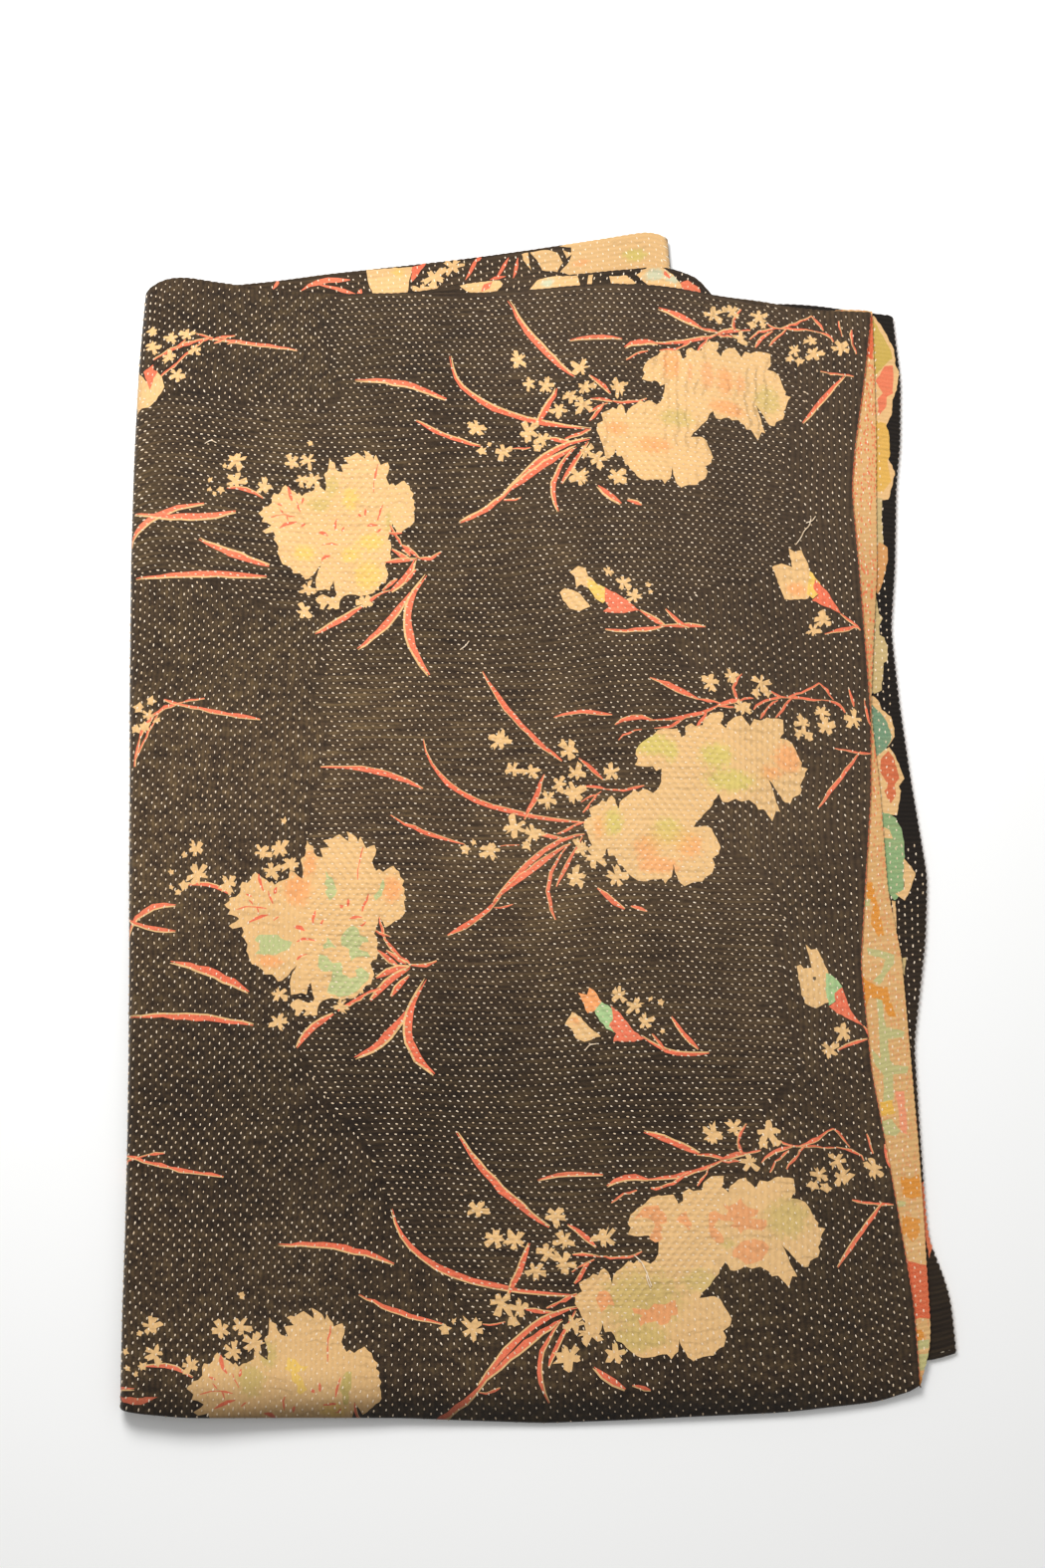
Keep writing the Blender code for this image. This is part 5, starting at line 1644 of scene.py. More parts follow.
@dataclass
class RunningStitches:
    """Raised running stitches, one small loop of thread for each, set on a cloth's printed face."""

    name: str
    sheet: ClothSheet
    width: float = 0.00136
    height: float = 0.00068
    length: float = 0.0038
    lengths: Pair = (0.62, 1.12)  # shares of the length between which the stitches vary
    raised: float = 0.00002
    jitter: float = 0.00048
    jitter_shares: Pair = (0.9, 0.5)  # along u and v
    left: float = -0.4350
    right: float = 0.365
    ends_clear: Pair = (0.0035, 0.003)  # past the bottom fold, and short of the top hem
    hem_clear: float = 0.003
    seam_clear: float = 0.0005
    cross_lean: Pair = (-12, 6)  # mean and spread, in degrees, as the others
    side_leans: Pair = (80.0, 104.0)  # left and right of the middle
    side_spread: float = 7
    middle: float = -0.1
    seam_lean: float = 32  # more lean beside the cross rows
    seam_width: float = 0.018
    missing: float = 0.012  # share of stitches that have worn away

    def unit_stitch(self) -> bpy.types.Object:
        """Make one stitch of length, width and height 1, open below.

        Returns:
            The stitch, for the tree to repeat.
        """
        places = np.array([
            (-0.5, 0, -0.3), (-0.22, -0.5, 0.0), (-0.22, 0, 1.0), (-0.22, 0.5, 0.0),
            (0.22, -0.5, 0.0), (0.22, 0, 1.0), (0.22, 0.5, 0.0), (0.5, 0, -0.3),
        ])
        triangles = np.array([(0, 1, 2), (0, 2, 3), (1, 4, 5), (1, 5, 2), (2, 5, 6), (2, 6, 3), (4, 7, 5), (5, 7, 6)])
        return put_in_scene(self.name + "_unit", mesh_from(self.name + "_unit", places, triangles))

    def tree(self) -> bpy.types.NodeTree:
        """Build the nodes that set the unit stitch on every point, turned and sized by the point's attributes.

        Returns:
            The geometry node tree.
        """
        tree = bpy.data.node_groups.new(self.name, "GeometryNodeTree")
        for name, kind in (("Points", "Geometry"), ("Stitch", "Object"), ("Width", "Float"), ("Height", "Float"),
                           ("Finish", "Material")):
            tree.interface.new_socket(name, in_out="INPUT", socket_type="NodeSocket" + kind)
        tree.interface.new_socket("Stitches", in_out="OUTPUT", socket_type="NodeSocketGeometry")
        source, stitch, scatter, size, euler, solid, dressed, sink, turn, length = (tree.nodes.new(kind) for kind in (
            "NodeGroupInput", "GeometryNodeObjectInfo", "GeometryNodeInstanceOnPoints", "ShaderNodeCombineXYZ",
            "FunctionNodeEulerToRotation", "GeometryNodeRealizeInstances", "GeometryNodeSetMaterial",
            "NodeGroupOutput", "GeometryNodeInputNamedAttribute", "GeometryNodeInputNamedAttribute"))
        for node, kind, name in ((turn, "FLOAT_VECTOR", "turn"), (length, "FLOAT", "length")):
            node.data_type = kind
            node.inputs["Name"].default_value = name
        for start, output, end, socket in (
            (source, "Points", scatter, "Points"), (source, "Stitch", stitch, "Object"),
            (stitch, "Geometry", scatter, "Instance"), (turn, "Attribute", euler, 0), (euler, 0, scatter, "Rotation"),
            (length, "Attribute", size, "X"), (source, "Width", size, "Y"), (source, "Height", size, "Z"),
            (size, 0, scatter, "Scale"), (scatter, 0, solid, 0), (solid, 0, dressed, "Geometry"),
            (source, "Finish", dressed, "Material"), (dressed, 0, sink, 0),
        ):
            tree.links.new(start.outputs[output], end.inputs[socket])
        return tree

    def turns(self, flat: Array, heading: Array) -> tuple[Array, Array]:
        """Set the stitches on the cloth.

        Args:
            flat: (N, 2) flat places.
            heading: directions of the stitches on the flat quilt, in radians.

        Returns:
            Two (N, 3) arrays: the places, and the turns as Euler angles.
        """
        sheet = self.sheet
        step = sheet.probe * np.stack([np.cos(heading), np.sin(heading)], axis=1)
        places, facing = sheet.placed(flat)
        ahead = sheet.stack.place(flat + step, sheet.offset) - sheet.stack.place(flat, sheet.offset)
        ahead = unit(ahead - facing * np.sum(ahead * facing, axis=1)[:, None])
        sideways = np.cross(facing, ahead)
        turn = np.stack([
            np.arctan2(sideways[:, 2], facing[:, 2]),
            -np.arcsin(np.clip(ahead[:, 2], -1, 1)),
            np.arctan2(ahead[:, 1], ahead[:, 0]),
        ], axis=1)
        return places + self.raised * facing, turn

    def layout(self) -> tuple[Array, Array]:
        """Lay the stitches out.

        Returns:
            Their flat places, and their headings in radians.
        """
        stack = self.sheet.stack
        draw = np.random.default_rng(SEED + 4)
        low, high = (self.left, stack.BOTTOM - self.ends_clear[0]), (self.right, stack.TOP - self.ends_clear[1])
        cross, side = ROWS.row_points(low, high, True), ROWS.row_points(low, high, False)
        seam = ROWS.inside_cross(side)
        cross = cross[ROWS.inside_cross(cross) > self.seam_clear]
        side, seam = side[seam < -self.seam_clear], seam[seam < -self.seam_clear]
        lean = np.where(side[:, 0] < self.middle, *self.side_leans) + draw.normal(0, self.side_spread, len(side))
        lean = lean + np.where(seam > -self.seam_width, self.seam_lean * (1 + seam / self.seam_width), 0)
        flat = np.vstack([cross, side])
        heading = np.radians(np.concatenate([draw.normal(*self.cross_lean, len(cross)), lean]))
        flat = flat + draw.normal(0, self.jitter, flat.shape) * self.jitter_shares
        hem = stack.hem(Panel.FIRST, flat[:, 1]) - self.hem_clear
        kept = (flat[:, 0] < hem) & (draw.random(len(flat)) > self.missing)
        kept &= flat[:, 0] > stack.folds(stack.level_of(flat[:, 1]))[1] + self.sheet.under_edge
        return flat[kept], heading[kept]

    def build(self, finish: bpy.types.Material) -> bpy.types.Object:
        """Set all the stitches as one piece.

        Args:
            finish: the thread's material.

        Returns:
            The piece, a plain mesh.
        """
        flat, heading = self.layout()
        lengths = self.length * np.random.default_rng(SEED + 5).uniform(*self.lengths, len(flat))
        places, turn = self.turns(flat, heading)
        points = bpy.data.meshes.new(self.name + "_points")
        points.vertices.add(len(places))
        points.vertices.foreach_set("co", places.astype(np.float32).ravel())
        add_attribute(points, "turn", "FLOAT_VECTOR", "POINT", turn)
        add_attribute(points, "length", "FLOAT", "POINT", lengths)
        carrier, unit_piece = put_in_scene(self.name + "_points", points), self.unit_stitch()
        modifier = carrier.modifiers.new("Stitches", "NODES")
        modifier.node_group = self.tree()
        values = {"Stitch": unit_piece, "Width": self.width, "Height": self.height, "Finish": finish}
        for item in modifier.node_group.interface.items_tree:
            if item.in_out == "INPUT" and item.name in values:
                modifier[item.identifier] = values[item.name]
        bpy.context.view_layer.update()
        mesh = bpy.data.meshes.new_from_object(carrier.evaluated_get(bpy.context.evaluated_depsgraph_get()))
        mesh.name = self.name
        for helper in (carrier, unit_piece):
            bpy.data.objects.remove(helper, do_unlink=True)
        mesh.shade_smooth()
        return put_in_scene(self.name, mesh)


@dataclass
class EdgeStitches(RunningStitches):
    """The running stitches on a strip that shows beside the top layer."""

    width: float = 0.0012
    height: float = 0.0005
    boxes: tuple[Box, ...] = ()
    row_pitch: float = 0.0062
    stitch_pitch: float = 0.0088
    edge_jitter: float = 0.0005
    lean: Pair = (90, 8)
    end_clear: float = 0.003
    side_clear: float = 0.0028

    def layout(self) -> tuple[Array, Array]:
        """Lay the stitches out.

        Returns:
            Their flat places, and their headings in radians.
        """
        stack = self.sheet.stack
        draw = np.random.default_rng(SEED + 6)
        flats, headings = [], []
        for box in self.boxes:
            x, y = np.meshgrid(np.arange(box.left, box.right, self.row_pitch),
                               np.arange(box.bottom, box.top, self.stitch_pitch))
            y = y + self.stitch_pitch / 2 * (np.arange(x.shape[1]) % 2)
            points = np.stack([x.ravel(), y.ravel()], axis=1) + draw.normal(0, self.edge_jitter, (x.size, 2))
            flat = stack.flat_of(points, box.panel, box.leaf)
            inside = np.where(flat[:, 1] > stack.BOTTOM, flat[:, 1] < stack.TOP - self.end_clear,
                              flat[:, 1] > stack.far_end + self.end_clear)
            if box.panel in (Panel.FIRST, Panel.SECOND):
                hem = stack.hem(box.panel, flat[:, 1])
                inside &= np.where(hem > 0, hem - flat[:, 0], flat[:, 0] - hem) > self.side_clear
            flats.append(flat[inside])
            mean, spread = self.lean
            headings.append(np.radians(mean + draw.normal(0, spread, int(inside.sum()))))
        return np.vstack(flats), np.concatenate(headings)


def tube(name: str, path: Array, radius: float, sides: int = 5) -> bpy.types.Object:
    """Make a closed round thread along a line of points.

    Args:
        name: the piece's name.
        path: (N, 3) points.
        radius: the thread's radius.
        sides: how many sides it has.

    Returns:
        The piece.
    """
    along = unit(np.gradient(path, axis=0))
    side = unit(np.cross(along, (0.12, 0.31, 0.94)))  # any direction that no thread runs along
    up = np.cross(side, along)
    rings = [path + radius * (math.cos(t) * side + math.sin(t) * up) for t in TURN * np.arange(sides) / sides]
    places = np.stack(rings, axis=1).reshape(-1, 3)
    triangles = []
    for step in range(len(path) - 1):
        for index in range(sides):
            a, b = step * sides + index, step * sides + (index + 1) % sides
            triangles += [(a, b, b + sides), (a, b + sides, a + sides)]
    ends = len(places)
    for index in range(sides):
        following = (index + 1) % sides
        triangles += [(ends, following, index), (ends + 1, ends - sides + index, ends - sides + following)]
    return put_in_scene(name, mesh_from(name, np.vstack([places, path[:1], path[-1:]]), np.array(triangles)))


@dataclass
class HemThread:
    """The coral thread that binds the top layer's side hem."""

    sheet: ClothSheet
    radius: float = 0.00045
    sides: int = 6
    out: float = 0.0006
    wobble: float = 0.00015
    step: float = 0.0019
    offset: float = 0.0004
    ends_clear: Pair = (0.002, 0.004)  # from the top hem and the bottom fold

    def build(self) -> bpy.types.Object:
        """Lay the thread along the hem from the top corner to the bottom fold.

        Returns:
            The piece.
        """
        stack = self.sheet.stack
        v = np.arange(stack.TOP - self.ends_clear[0], stack.BOTTOM + self.ends_clear[1], -self.step)
        wobble = np.random.default_rng(SEED + 7).normal(0, self.wobble, len(v))
        flat = np.stack([stack.hem(Panel.FIRST, v) + self.out + wobble, v], axis=1)
        return tube("hem_thread", stack.place(flat, self.offset), self.radius, self.sides)


@dataclass
class LooseThreads:
    """Ends of thread that have worked loose on the top layer."""

    sheet: ClothSheet
    radius: float = 0.00058
    lowest: float = 0.0007
    arch: float = 0.0009
    points: int = 10  # points for each corner of a line
    lines: tuple[tuple[Pair, ...], ...] = (
        ((0.091, -0.459), (0.0945, -0.462), (0.099, -0.4665), (0.103, -0.475), (0.1055, -0.482), (0.108, -0.4885)),
        ((0.1025, -0.477), (0.104, -0.484), (0.107, -0.490)),
        ((0.268, 0.258), (0.274, 0.266), (0.277, 0.273), (0.283, 0.279), (0.285, 0.288)),
        ((0.279, 0.282), (0.286, 0.284), (0.290, 0.290)),
        ((0.046, -0.266), (0.051, -0.260), (0.058, -0.259)),
        ((-0.345, 0.365), (-0.338, 0.369), (-0.332, 0.366)),
        ((-0.078, 0.140), (-0.072, 0.144), (-0.068, 0.150)),
    )

    def build(self) -> list[bpy.types.Object]:
        """Lay each end of thread in a soft low curve on the cloth.

        Returns:
            The pieces.
        """
        stack, offset = self.sheet.stack, self.sheet.offset
        pieces = []
        for number, line in enumerate(self.lines, start=1):
            corners = np.array(line)
            share = np.linspace(0, len(corners) - 1, self.points * len(corners))
            flat = stack.flat_of(np.stack([smooth_run(corners[:, axis], share) for axis in (0, 1)], axis=1))
            lift = self.lowest + self.arch * np.sin(math.pi * np.linspace(0.05, 0.95, len(flat)))
            pieces.append(tube(f"loose_thread_{number}", stack.place(flat, offset + lift), self.radius))
        return pieces


def smooth_run(values: Array, share: Array, reach: int = 4) -> Array:
    """Read values between the given ones, with rounded corners.

    Args:
        values: the given values.
        share: where to read them, 0 at the first, 1 at the second and so on.
        reach: how many readings to each side a corner is rounded over.

    Returns:
        One value for each share.
    """
    straight = np.interp(share, np.arange(len(values)), values)
    width = 2 * reach + 1
    return np.convolve(np.pad(straight, reach, mode="edge"), np.ones(width) / width, mode="valid")


# === Finishes ===


@dataclass(frozen=True)
class Flow:
    """A value on its way through a material's nodes, which can be reckoned with."""

    maker: "NodeMaker"
    socket: bpy.types.NodeSocket

    def math(self, operation: str, *others: "Flow | float") -> "Flow":
        """Add a Math node that takes this value first."""
        return self.maker.math(operation, self, *others)

    def __add__(self, other: "Flow | float") -> "Flow":
        """Add the other value."""
        return self.math("ADD", other)

    __radd__ = __add__

    def __sub__(self, other: "Flow | float") -> "Flow":
        """Take the other value away."""
        return self.math("SUBTRACT", other)

    def __rsub__(self, other: "Flow | float") -> "Flow":
        """Take this value away from the other."""
        return self.maker.math("SUBTRACT", other, self)

    def __mul__(self, other: "Flow | float") -> "Flow":
        """Multiply by the other value."""
        return self.math("MULTIPLY", other)

    __rmul__ = __mul__

    def __truediv__(self, other: "Flow | float") -> "Flow":
        """Divide by the other value."""
        return self.math("DIVIDE", other)

    def __gt__(self, other: "Flow | float") -> "Flow":
        """1 where this value is the greater, 0 elsewhere."""
        return self.math("GREATER_THAN", other)


class NodeMaker:
    """Makes the nodes of one material."""

    def __init__(self, name: str) -> None:
        """Start a material.

        Args:
            name: its name.
        """
        self.material = bpy.data.materials.new(name)
        self.material.use_nodes = True
        self.tree = self.material.node_tree
        self.shader = self.tree.nodes["Principled BSDF"]

    def node(self, kind: str, settings: dict | None = None, values: dict | None = None) -> bpy.types.Node:
        """Add a node.

        Args:
            kind: the node's type.
            settings: its properties, or the stops of a ramp under "stops".
            values: values or flows for its sockets, by name or number.

        Returns:
            The node.
        """
        node = self.tree.nodes.new(kind)
        for key, value in (settings or {}).items():
            if key == "stops":
                self.set_stops(node.color_ramp, value)
            else:
                setattr(node, key, value)
        self.feed(node, values or {})
        return node

    def set_stops(self, ramp: bpy.types.ColorRamp, stops: tuple[tuple[float, Colour], ...]) -> None:
        """Give a colour ramp its stops.

        Args:
            ramp: the ramp.
            stops: place and colour of each.
        """
        while len(ramp.elements) < len(stops):
            ramp.elements.new(0.5)
        for element, (position, colour) in zip(ramp.elements, stops):
            element.position, element.color = position, (*colour, 1)

    def feed(self, node: bpy.types.Node, values: dict) -> None:
        """Set or link a node's sockets.

        Args:
            node: the node.
            values: values or flows for its sockets, by name or number.
        """
        for key, value in values.items():
            socket = node.inputs[key]
            if isinstance(value, Flow):
                self.tree.links.new(value.socket, socket)
            elif isinstance(value, tuple) and len(value) == 3 and socket.type == "RGBA":
                socket.default_value = (*value, 1)
            else:
                socket.default_value = value

    def flow(self, node: bpy.types.Node, output: str | int = 0) -> Flow:
        """The value that leaves one of a node's outputs."""
        return Flow(self, node.outputs[output])

    def math(self, operation: str, *values: Flow | float) -> Flow:
        """Reckon with numbers."""
        return self.flow(self.node("ShaderNodeMath", {"operation": operation}, dict(enumerate(values))))

    def blend(self, share: Flow | float, start: Flow | Colour, end: Flow | Colour, how: str = "MIX") -> Flow:
        """Blend two colours."""
        node = self.node("ShaderNodeMix", {"data_type": "RGBA", "blend_type": how}, {0: share, 6: start, 7: end})
        return self.flow(node, 2)

    def shaded(self, colour: Flow, shade: Flow | float) -> Flow:
        """Make a colour darker, or lighter."""
        return self.blend(1.0, colour, self.vector(shade, shade, shade), "MULTIPLY")

    def remap(self, value: Flow, low: float, high: float) -> Flow:
        """Spread the range from low to high over 0 to 1, softly, and hold it past both ends."""
        values = {"Value": value, "From Min": low, "From Max": high}
        return self.flow(self.node("ShaderNodeMapRange", {"interpolation_type": "SMOOTHSTEP"}, values))

    def noise(self, where: Flow, scale: float, detail: float, rough: float) -> Flow:
        """Soft noise."""
        values = {"Vector": where, "Scale": scale, "Detail": detail, "Roughness": rough}
        return self.flow(self.node("ShaderNodeTexNoise", {}, values))

    def attribute(self, name: str, output: str) -> Flow:
        """An attribute of the piece."""
        return self.flow(self.node("ShaderNodeAttribute", {"attribute_name": name}), output)

    def vector(self, x: Flow | float, y: Flow | float, z: Flow | float = 0.0) -> Flow:
        """Join three numbers."""
        return self.flow(self.node("ShaderNodeCombineXYZ", {}, {0: x, 1: y, 2: z}))

    def parts(self, value: Flow) -> list[Flow]:
        """The three numbers of a vector."""
        node = self.node("ShaderNodeSeparateXYZ", {}, {0: value})
        return [self.flow(node, index) for index in range(3)]

    def object_place(self) -> Flow:
        """Object coordinates."""
        return self.flow(self.node("ShaderNodeTexCoord"), "Object")

    def bump(self, height: Flow, distance: float) -> None:
        """Raise the surface by a height, in steps of distance."""
        node = self.node("ShaderNodeBump", {}, {"Height": height, "Distance": distance, "Strength": 1.0})
        self.feed(self.shader, {"Normal": self.flow(node)})


class ToneAndShade(NamedTuple):
    """A soft patch where the ground is lighter (gain above 0) or darker (gain below 0): partly uneven dye, partly
    painted light and painted shade.
    """

    x: float
    y: float
    half_width: float
    half_height: float
    gain: float


# Patches on each cloth: partly uneven dye, partly painted light in the middle of the top layer and painted shade lower
# down, at the top left and on the pale strip.
DARK_TONES_AND_SHADE = (
    ToneAndShade(-0.120, -0.040, 0.440, 0.200, 0.42),
    ToneAndShade(-0.150, -0.325, 0.420, 0.120, -0.26),
    ToneAndShade(0.280, -0.500, 0.240, 0.130, -0.28),
    ToneAndShade(-0.230, 0.480, 0.260, 0.100, -0.22),
)
PALE_TONES_AND_SHADE = (ToneAndShade(0.335, 0.160, 0.080, 0.180, -0.12),)


class Noise(NamedTuple):
    """Scale, detail and roughness of a noise."""

    scale: float
    detail: float
    rough: float


class ClothFlows(NamedTuple):
    """What is read at each point of a cloth: its flat place, its place, its rows and its noises."""

    made: NodeMaker
    u: Flow
    v: Flow
    x: Flow
    y: Flow
    cross: Flow  # 1 where the rows run across the quilt
    sewn: Flow  # 1 where the stitches are pieces
    beside: Flow  # rows from the nearest row across
    along: Flow  # stitches from the nearest stitch on it
    ridge: Flow  # 0 on a row of stitches and 1 halfway to the next
    streak: Flow
    broad: Flow
    fleck: Flow
    inner: Flow  # how dark the inner panels are painted: partly darker dye, partly painted shade beside and beyond the top layer


@dataclass(frozen=True)
class PrintedCotton:
    """Worn block-printed cotton, held down by rows of running stitches. Shares and shades run from 0 to 1."""

    name: str
    dark: Colour
    middle: Colour
    light: Colour
    tint: Colour
    dots: Colour | None = None
    inner_shade: float = 0.75  # how dark the inner panels are painted: partly darker dye, partly painted shade
    trough_shade: float = 0.38
    wrinkle_shade: float = 0.28
    wrinkle_depth: float = 0.40
    tones_and_shade: tuple[ToneAndShade, ...] = ()
    ramp: tuple[float, float, float] = (0.36, 0.50, 0.66)  # where the dark, middle and light dyes stand
    # Colours that the inner panels' ground and ink are blended towards: partly darker dye, partly painted shade.
    inner_dye_and_shade: Colour = linear((19, 15, 12))
    inner_ink_and_shade: Colour = linear((200, 158, 108))
    rubbed_ink: Colour = linear((250, 226, 178))
    faded_ink: Colour = linear((206, 160, 104))
    stitch: Colour = linear((238, 224, 196))
    thread_count: float = 1500.0
    rolled_shade: float = 0.80
    far_shade: float = 0.14
    # How much of the inner panels' darker dye and painted shade is taken off on the strips at the top.
    upper_strip_lift: float = 0.96
    tint_share: float = 0.55
    wash_share: float = 0.70
    ink_relief: float = 0.75  # how much less the troughs shade the ink
    rubbed: float = 0.22
    faded: float = 0.14
    worn_through: float = 0.35
    relief: float = 0.0011
    sheen: float = 0.12
    sheen_rough: float = 0.5
    gloss: float = 0.22
    streak_noise: Noise = Noise(1.0, 3.0, 0.65)
    broad_noise: Noise = Noise(5.5, 3.0, 0.55)
    fleck_noise: Noise = Noise(620.0, 2.0, 0.70)
    broken_noise: Noise = Noise(190.0, 4.0, 0.70)
    crease_noise: Noise = Noise(140.0, 3.0, 0.60)
    wander_noise: Noise = Noise(38.0, 4.0, 0.65)
    gap_noise: Noise = Noise(24.0, 2.0, 0.50)
    wrinkle_pitch: float = 94.0  # wrinkles in a metre
    dot_scale: float = 400.0

    def read(self, made: NodeMaker) -> ClothFlows:
        """Read the cloth's places and rows, and the noises that several steps share.

        Args:
            made: the material's nodes.

        Returns:
            What the other methods work from.
        """
        across, across_run, cross = made.parts(made.attribute("cross_rows", "Vector"))
        side, side_run, sewn = made.parts(made.attribute("side_rows", "Vector"))
        place = made.object_place()
        u, v, _ = made.parts(made.flow(made.node("ShaderNodeUVMap", {"uv_map": "flat"})))
        x, y, _ = made.parts(place)
        cross_ridge, side_ridge = (0.5 - 0.5 * (rows * TURN).math("COSINE") for rows in (across, side))
        cross_streak = made.noise(made.vector(across_run * 0.16, across * 0.9), *self.streak_noise)
        side_streak = made.noise(made.vector(side * 0.35, side_run * 0.9, 5.0), *self.streak_noise)
        number = (across + 0.5).math("FLOOR")
        # The inner panels are painted darker, less so lower down: partly darker dye, partly painted shade.
        inner = (1.0 - made.remap(u, -0.50, -0.42)) * (0.62 + 0.38 * made.remap(y, -0.20, -0.02))
        # The strips at the top keep less of that darkness.
        upper = self.upper_strip_lift * made.remap(y, 0.532, 0.548) * (1.0 - 0.6 * made.remap(x, 0.02, 0.10))
        return ClothFlows(
            made, u, v, x, y, cross, sewn,
            beside=across - number,
            along=(across_run + (number * ROWS.stagger).math("FRACT") + 0.5).math("FRACT") - 0.5,
            ridge=side_ridge + cross * (cross_ridge - side_ridge),
            streak=side_streak + cross * (cross_streak - side_streak),
            broad=made.noise(place, *self.broad_noise),
            fleck=made.noise(made.vector(u, v * 2.2), *self.fleck_noise),
            inner=inner * (1.0 - upper) * self.inner_shade,
        )

    def wear_and_shade(self, at: ClothFlows) -> Flow | float:
        """Find how much lighter or darker the ground is, by uneven dye and by painted light and shade.

        Args:
            at: what is read on the cloth.

        Returns:
            1 where the ground is neither.
        """
        total = 1.0
        for tone in self.tones_and_shade:
            across, along = (at.x - tone.x) / tone.half_width, (at.y - tone.y) / tone.half_height
            total = (1.0 - at.made.remap(across * across + along * along, 0.05, 1.0)) * tone.gain + total
        return total

    def wrinkles(self, at: ClothFlows) -> Flow:
        """Draw thin wavy wrinkles, most of them across the quilt and some up it at the top right.

        Args:
            at: what is read on the cloth.

        Returns:
            1 along each wrinkle.
        """
        made, u, v = at.made, at.u, at.v
        wander = made.noise(made.vector(u, v, 3.0), *self.wander_noise) * 2.4
        across, along = (((value * self.wrinkle_pitch + wander) * TURN).math("COSINE") for value in (v, u))
        upright = made.remap(v, 0.30, 0.36) * made.remap(u, -0.02, 0.04)
        lines = made.blend(upright, made.remap(across, 0.30, 0.98), made.remap(along, 0.30, 0.98))
        lines = lines * made.remap(made.noise(made.vector(u, v, 7.0), *self.gap_noise), 0.40, 0.64)
        return lines * (0.45 + 0.30 * upright + 0.25 * made.remap(u, 0.16, 0.26))

    def dashes(self, at: ClothFlows) -> Flow:
        """Draw the stitches on the faces where they are no pieces of their own.

        Args:
            at: what is read on the cloth.

        Returns:
            1 on each stitch.
        """
        length = 1.0 - at.made.remap((at.along + at.beside * 0.35).math("ABSOLUTE"), 0.20, 0.25)
        return length * (1.0 - at.made.remap(at.beside.math("ABSOLUTE"), 0.08, 0.13)) * (1.0 - at.sewn)

    def dotted(self, at: ClothFlows, ground: Flow) -> Flow:
        """Print fine dots, close together in the middle of the strip that shows.

        Args:
            at: what is read on the cloth.
            ground: the cloth's own colour.

        Returns:
            The colour with the dots.
        """
        made = at.made
        values = {"Vector": made.vector(at.u, at.v * 0.45), "Scale": self.dot_scale}
        cells = made.node("ShaderNodeTexVoronoi", {}, values)
        spots = 1.0 - made.remap(made.flow(cells, "Distance") + (at.broad - 0.5) * 0.5, 0.24, 0.46)
        share = 0.15 + 0.85 * made.remap(at.x, 0.320, 0.346) * (0.25 + 0.75 * made.remap(at.y, -0.16, 0.08))
        return made.blend(spots * made.remap(at.fleck, 0.24, 0.50) * share, ground, self.dots)

    def ground(self, at: ClothFlows) -> Flow:
        """Dye the ground, in unevenly faded streaks along the rows, with patches of painted light and shade, and darker
        on the inner panels, partly by dye and partly by painted shade.

        Args:
            at: what is read on the cloth.

        Returns:
            The ground's colour.
        """
        made = at.made
        seam = at.cross * (1.0 - at.cross) * 4.0
        level = at.streak * 0.62 + at.broad * 0.30 + at.fleck * 0.30 - 0.11 - 0.05 * seam
        stops = tuple(zip(self.ramp, (self.dark, self.middle, self.light)))
        dyed = made.flow(made.node("ShaderNodeValToRGB", {"stops": stops}, {0: level}))
        tinted = made.remap(at.x * 0.8 + at.y * 0.35 + at.broad * 0.5, 0.20, 0.62)
        # Uneven dye, with painted light and painted shade, patch by patch.
        dyed = made.shaded(made.blend(tinted * self.tint_share, dyed, self.tint), self.wear_and_shade(at))
        # The inner panels' darker dye and painted shade.
        dyed = made.blend(at.inner, dyed, self.inner_dye_and_shade)
        return dyed if self.dots is None else self.dotted(at, dyed)

    def ink(self, at: ClothFlows, covered: Flow) -> Flow:
        """Mix the ink: washes that break up along the rows, places where it is rubbed thin, and painted shade on the
        inner panels.

        Args:
            at: what is read on the cloth.
            covered: 1 on an ink that takes washes, less on a plain one, and 0 on the ground.

        Returns:
            The ink's colour.
        """
        made = at.made
        wash = made.node("ShaderNodeAttribute", {"attribute_name": "wash"})
        broken = made.noise(made.vector(at.u, at.v, 2.0), *self.broken_noise)
        amount = made.remap(made.flow(wash, "Alpha") * 1.25 + (broken - 0.5) * 1.5, 0.34, 0.96) * self.wash_share
        ink = made.blend(amount * (covered > 0.9), made.attribute("ink", "Color"), made.flow(wash, "Color"))
        ink = made.blend(made.remap(at.fleck + at.broad * 0.4, 0.55, 0.95) * self.rubbed, ink, self.rubbed_ink)
        ink = made.blend(made.remap(at.streak, 0.50, 0.74) * self.faded, ink, self.faded_ink)
        # The ink on the inner panels is painted darker too: partly painted shade.
        return made.blend(at.inner * 0.2, ink, self.inner_ink_and_shade)

    def shade(self, at: ClothFlows, printed: Flow, wrinkle: Flow) -> Flow:
        """Shade the troughs on the rows, the wrinkles, the rolled bottom fold and the furthest strip.

        Args:
            at: what is read on the cloth.
            printed: 1 on the ink.
            wrinkle: 1 along each wrinkle.

        Returns:
            What the colour is multiplied by.
        """
        made, depth = at.made, self.trough_shade * (1.0 - self.ink_relief * printed)
        rolled = 1.0 - made.remap(at.y, -0.618, -0.560) * (0.4 + 0.6 * made.remap(at.x, -0.430, -0.392))
        shade = (1.0 - depth + depth * at.ridge) * (1.0 - self.wrinkle_shade * wrinkle)
        return shade * (1.0 - self.rolled_shade * rolled) * (1.0 - self.far_shade * made.remap(at.y, 0.556, 0.570))

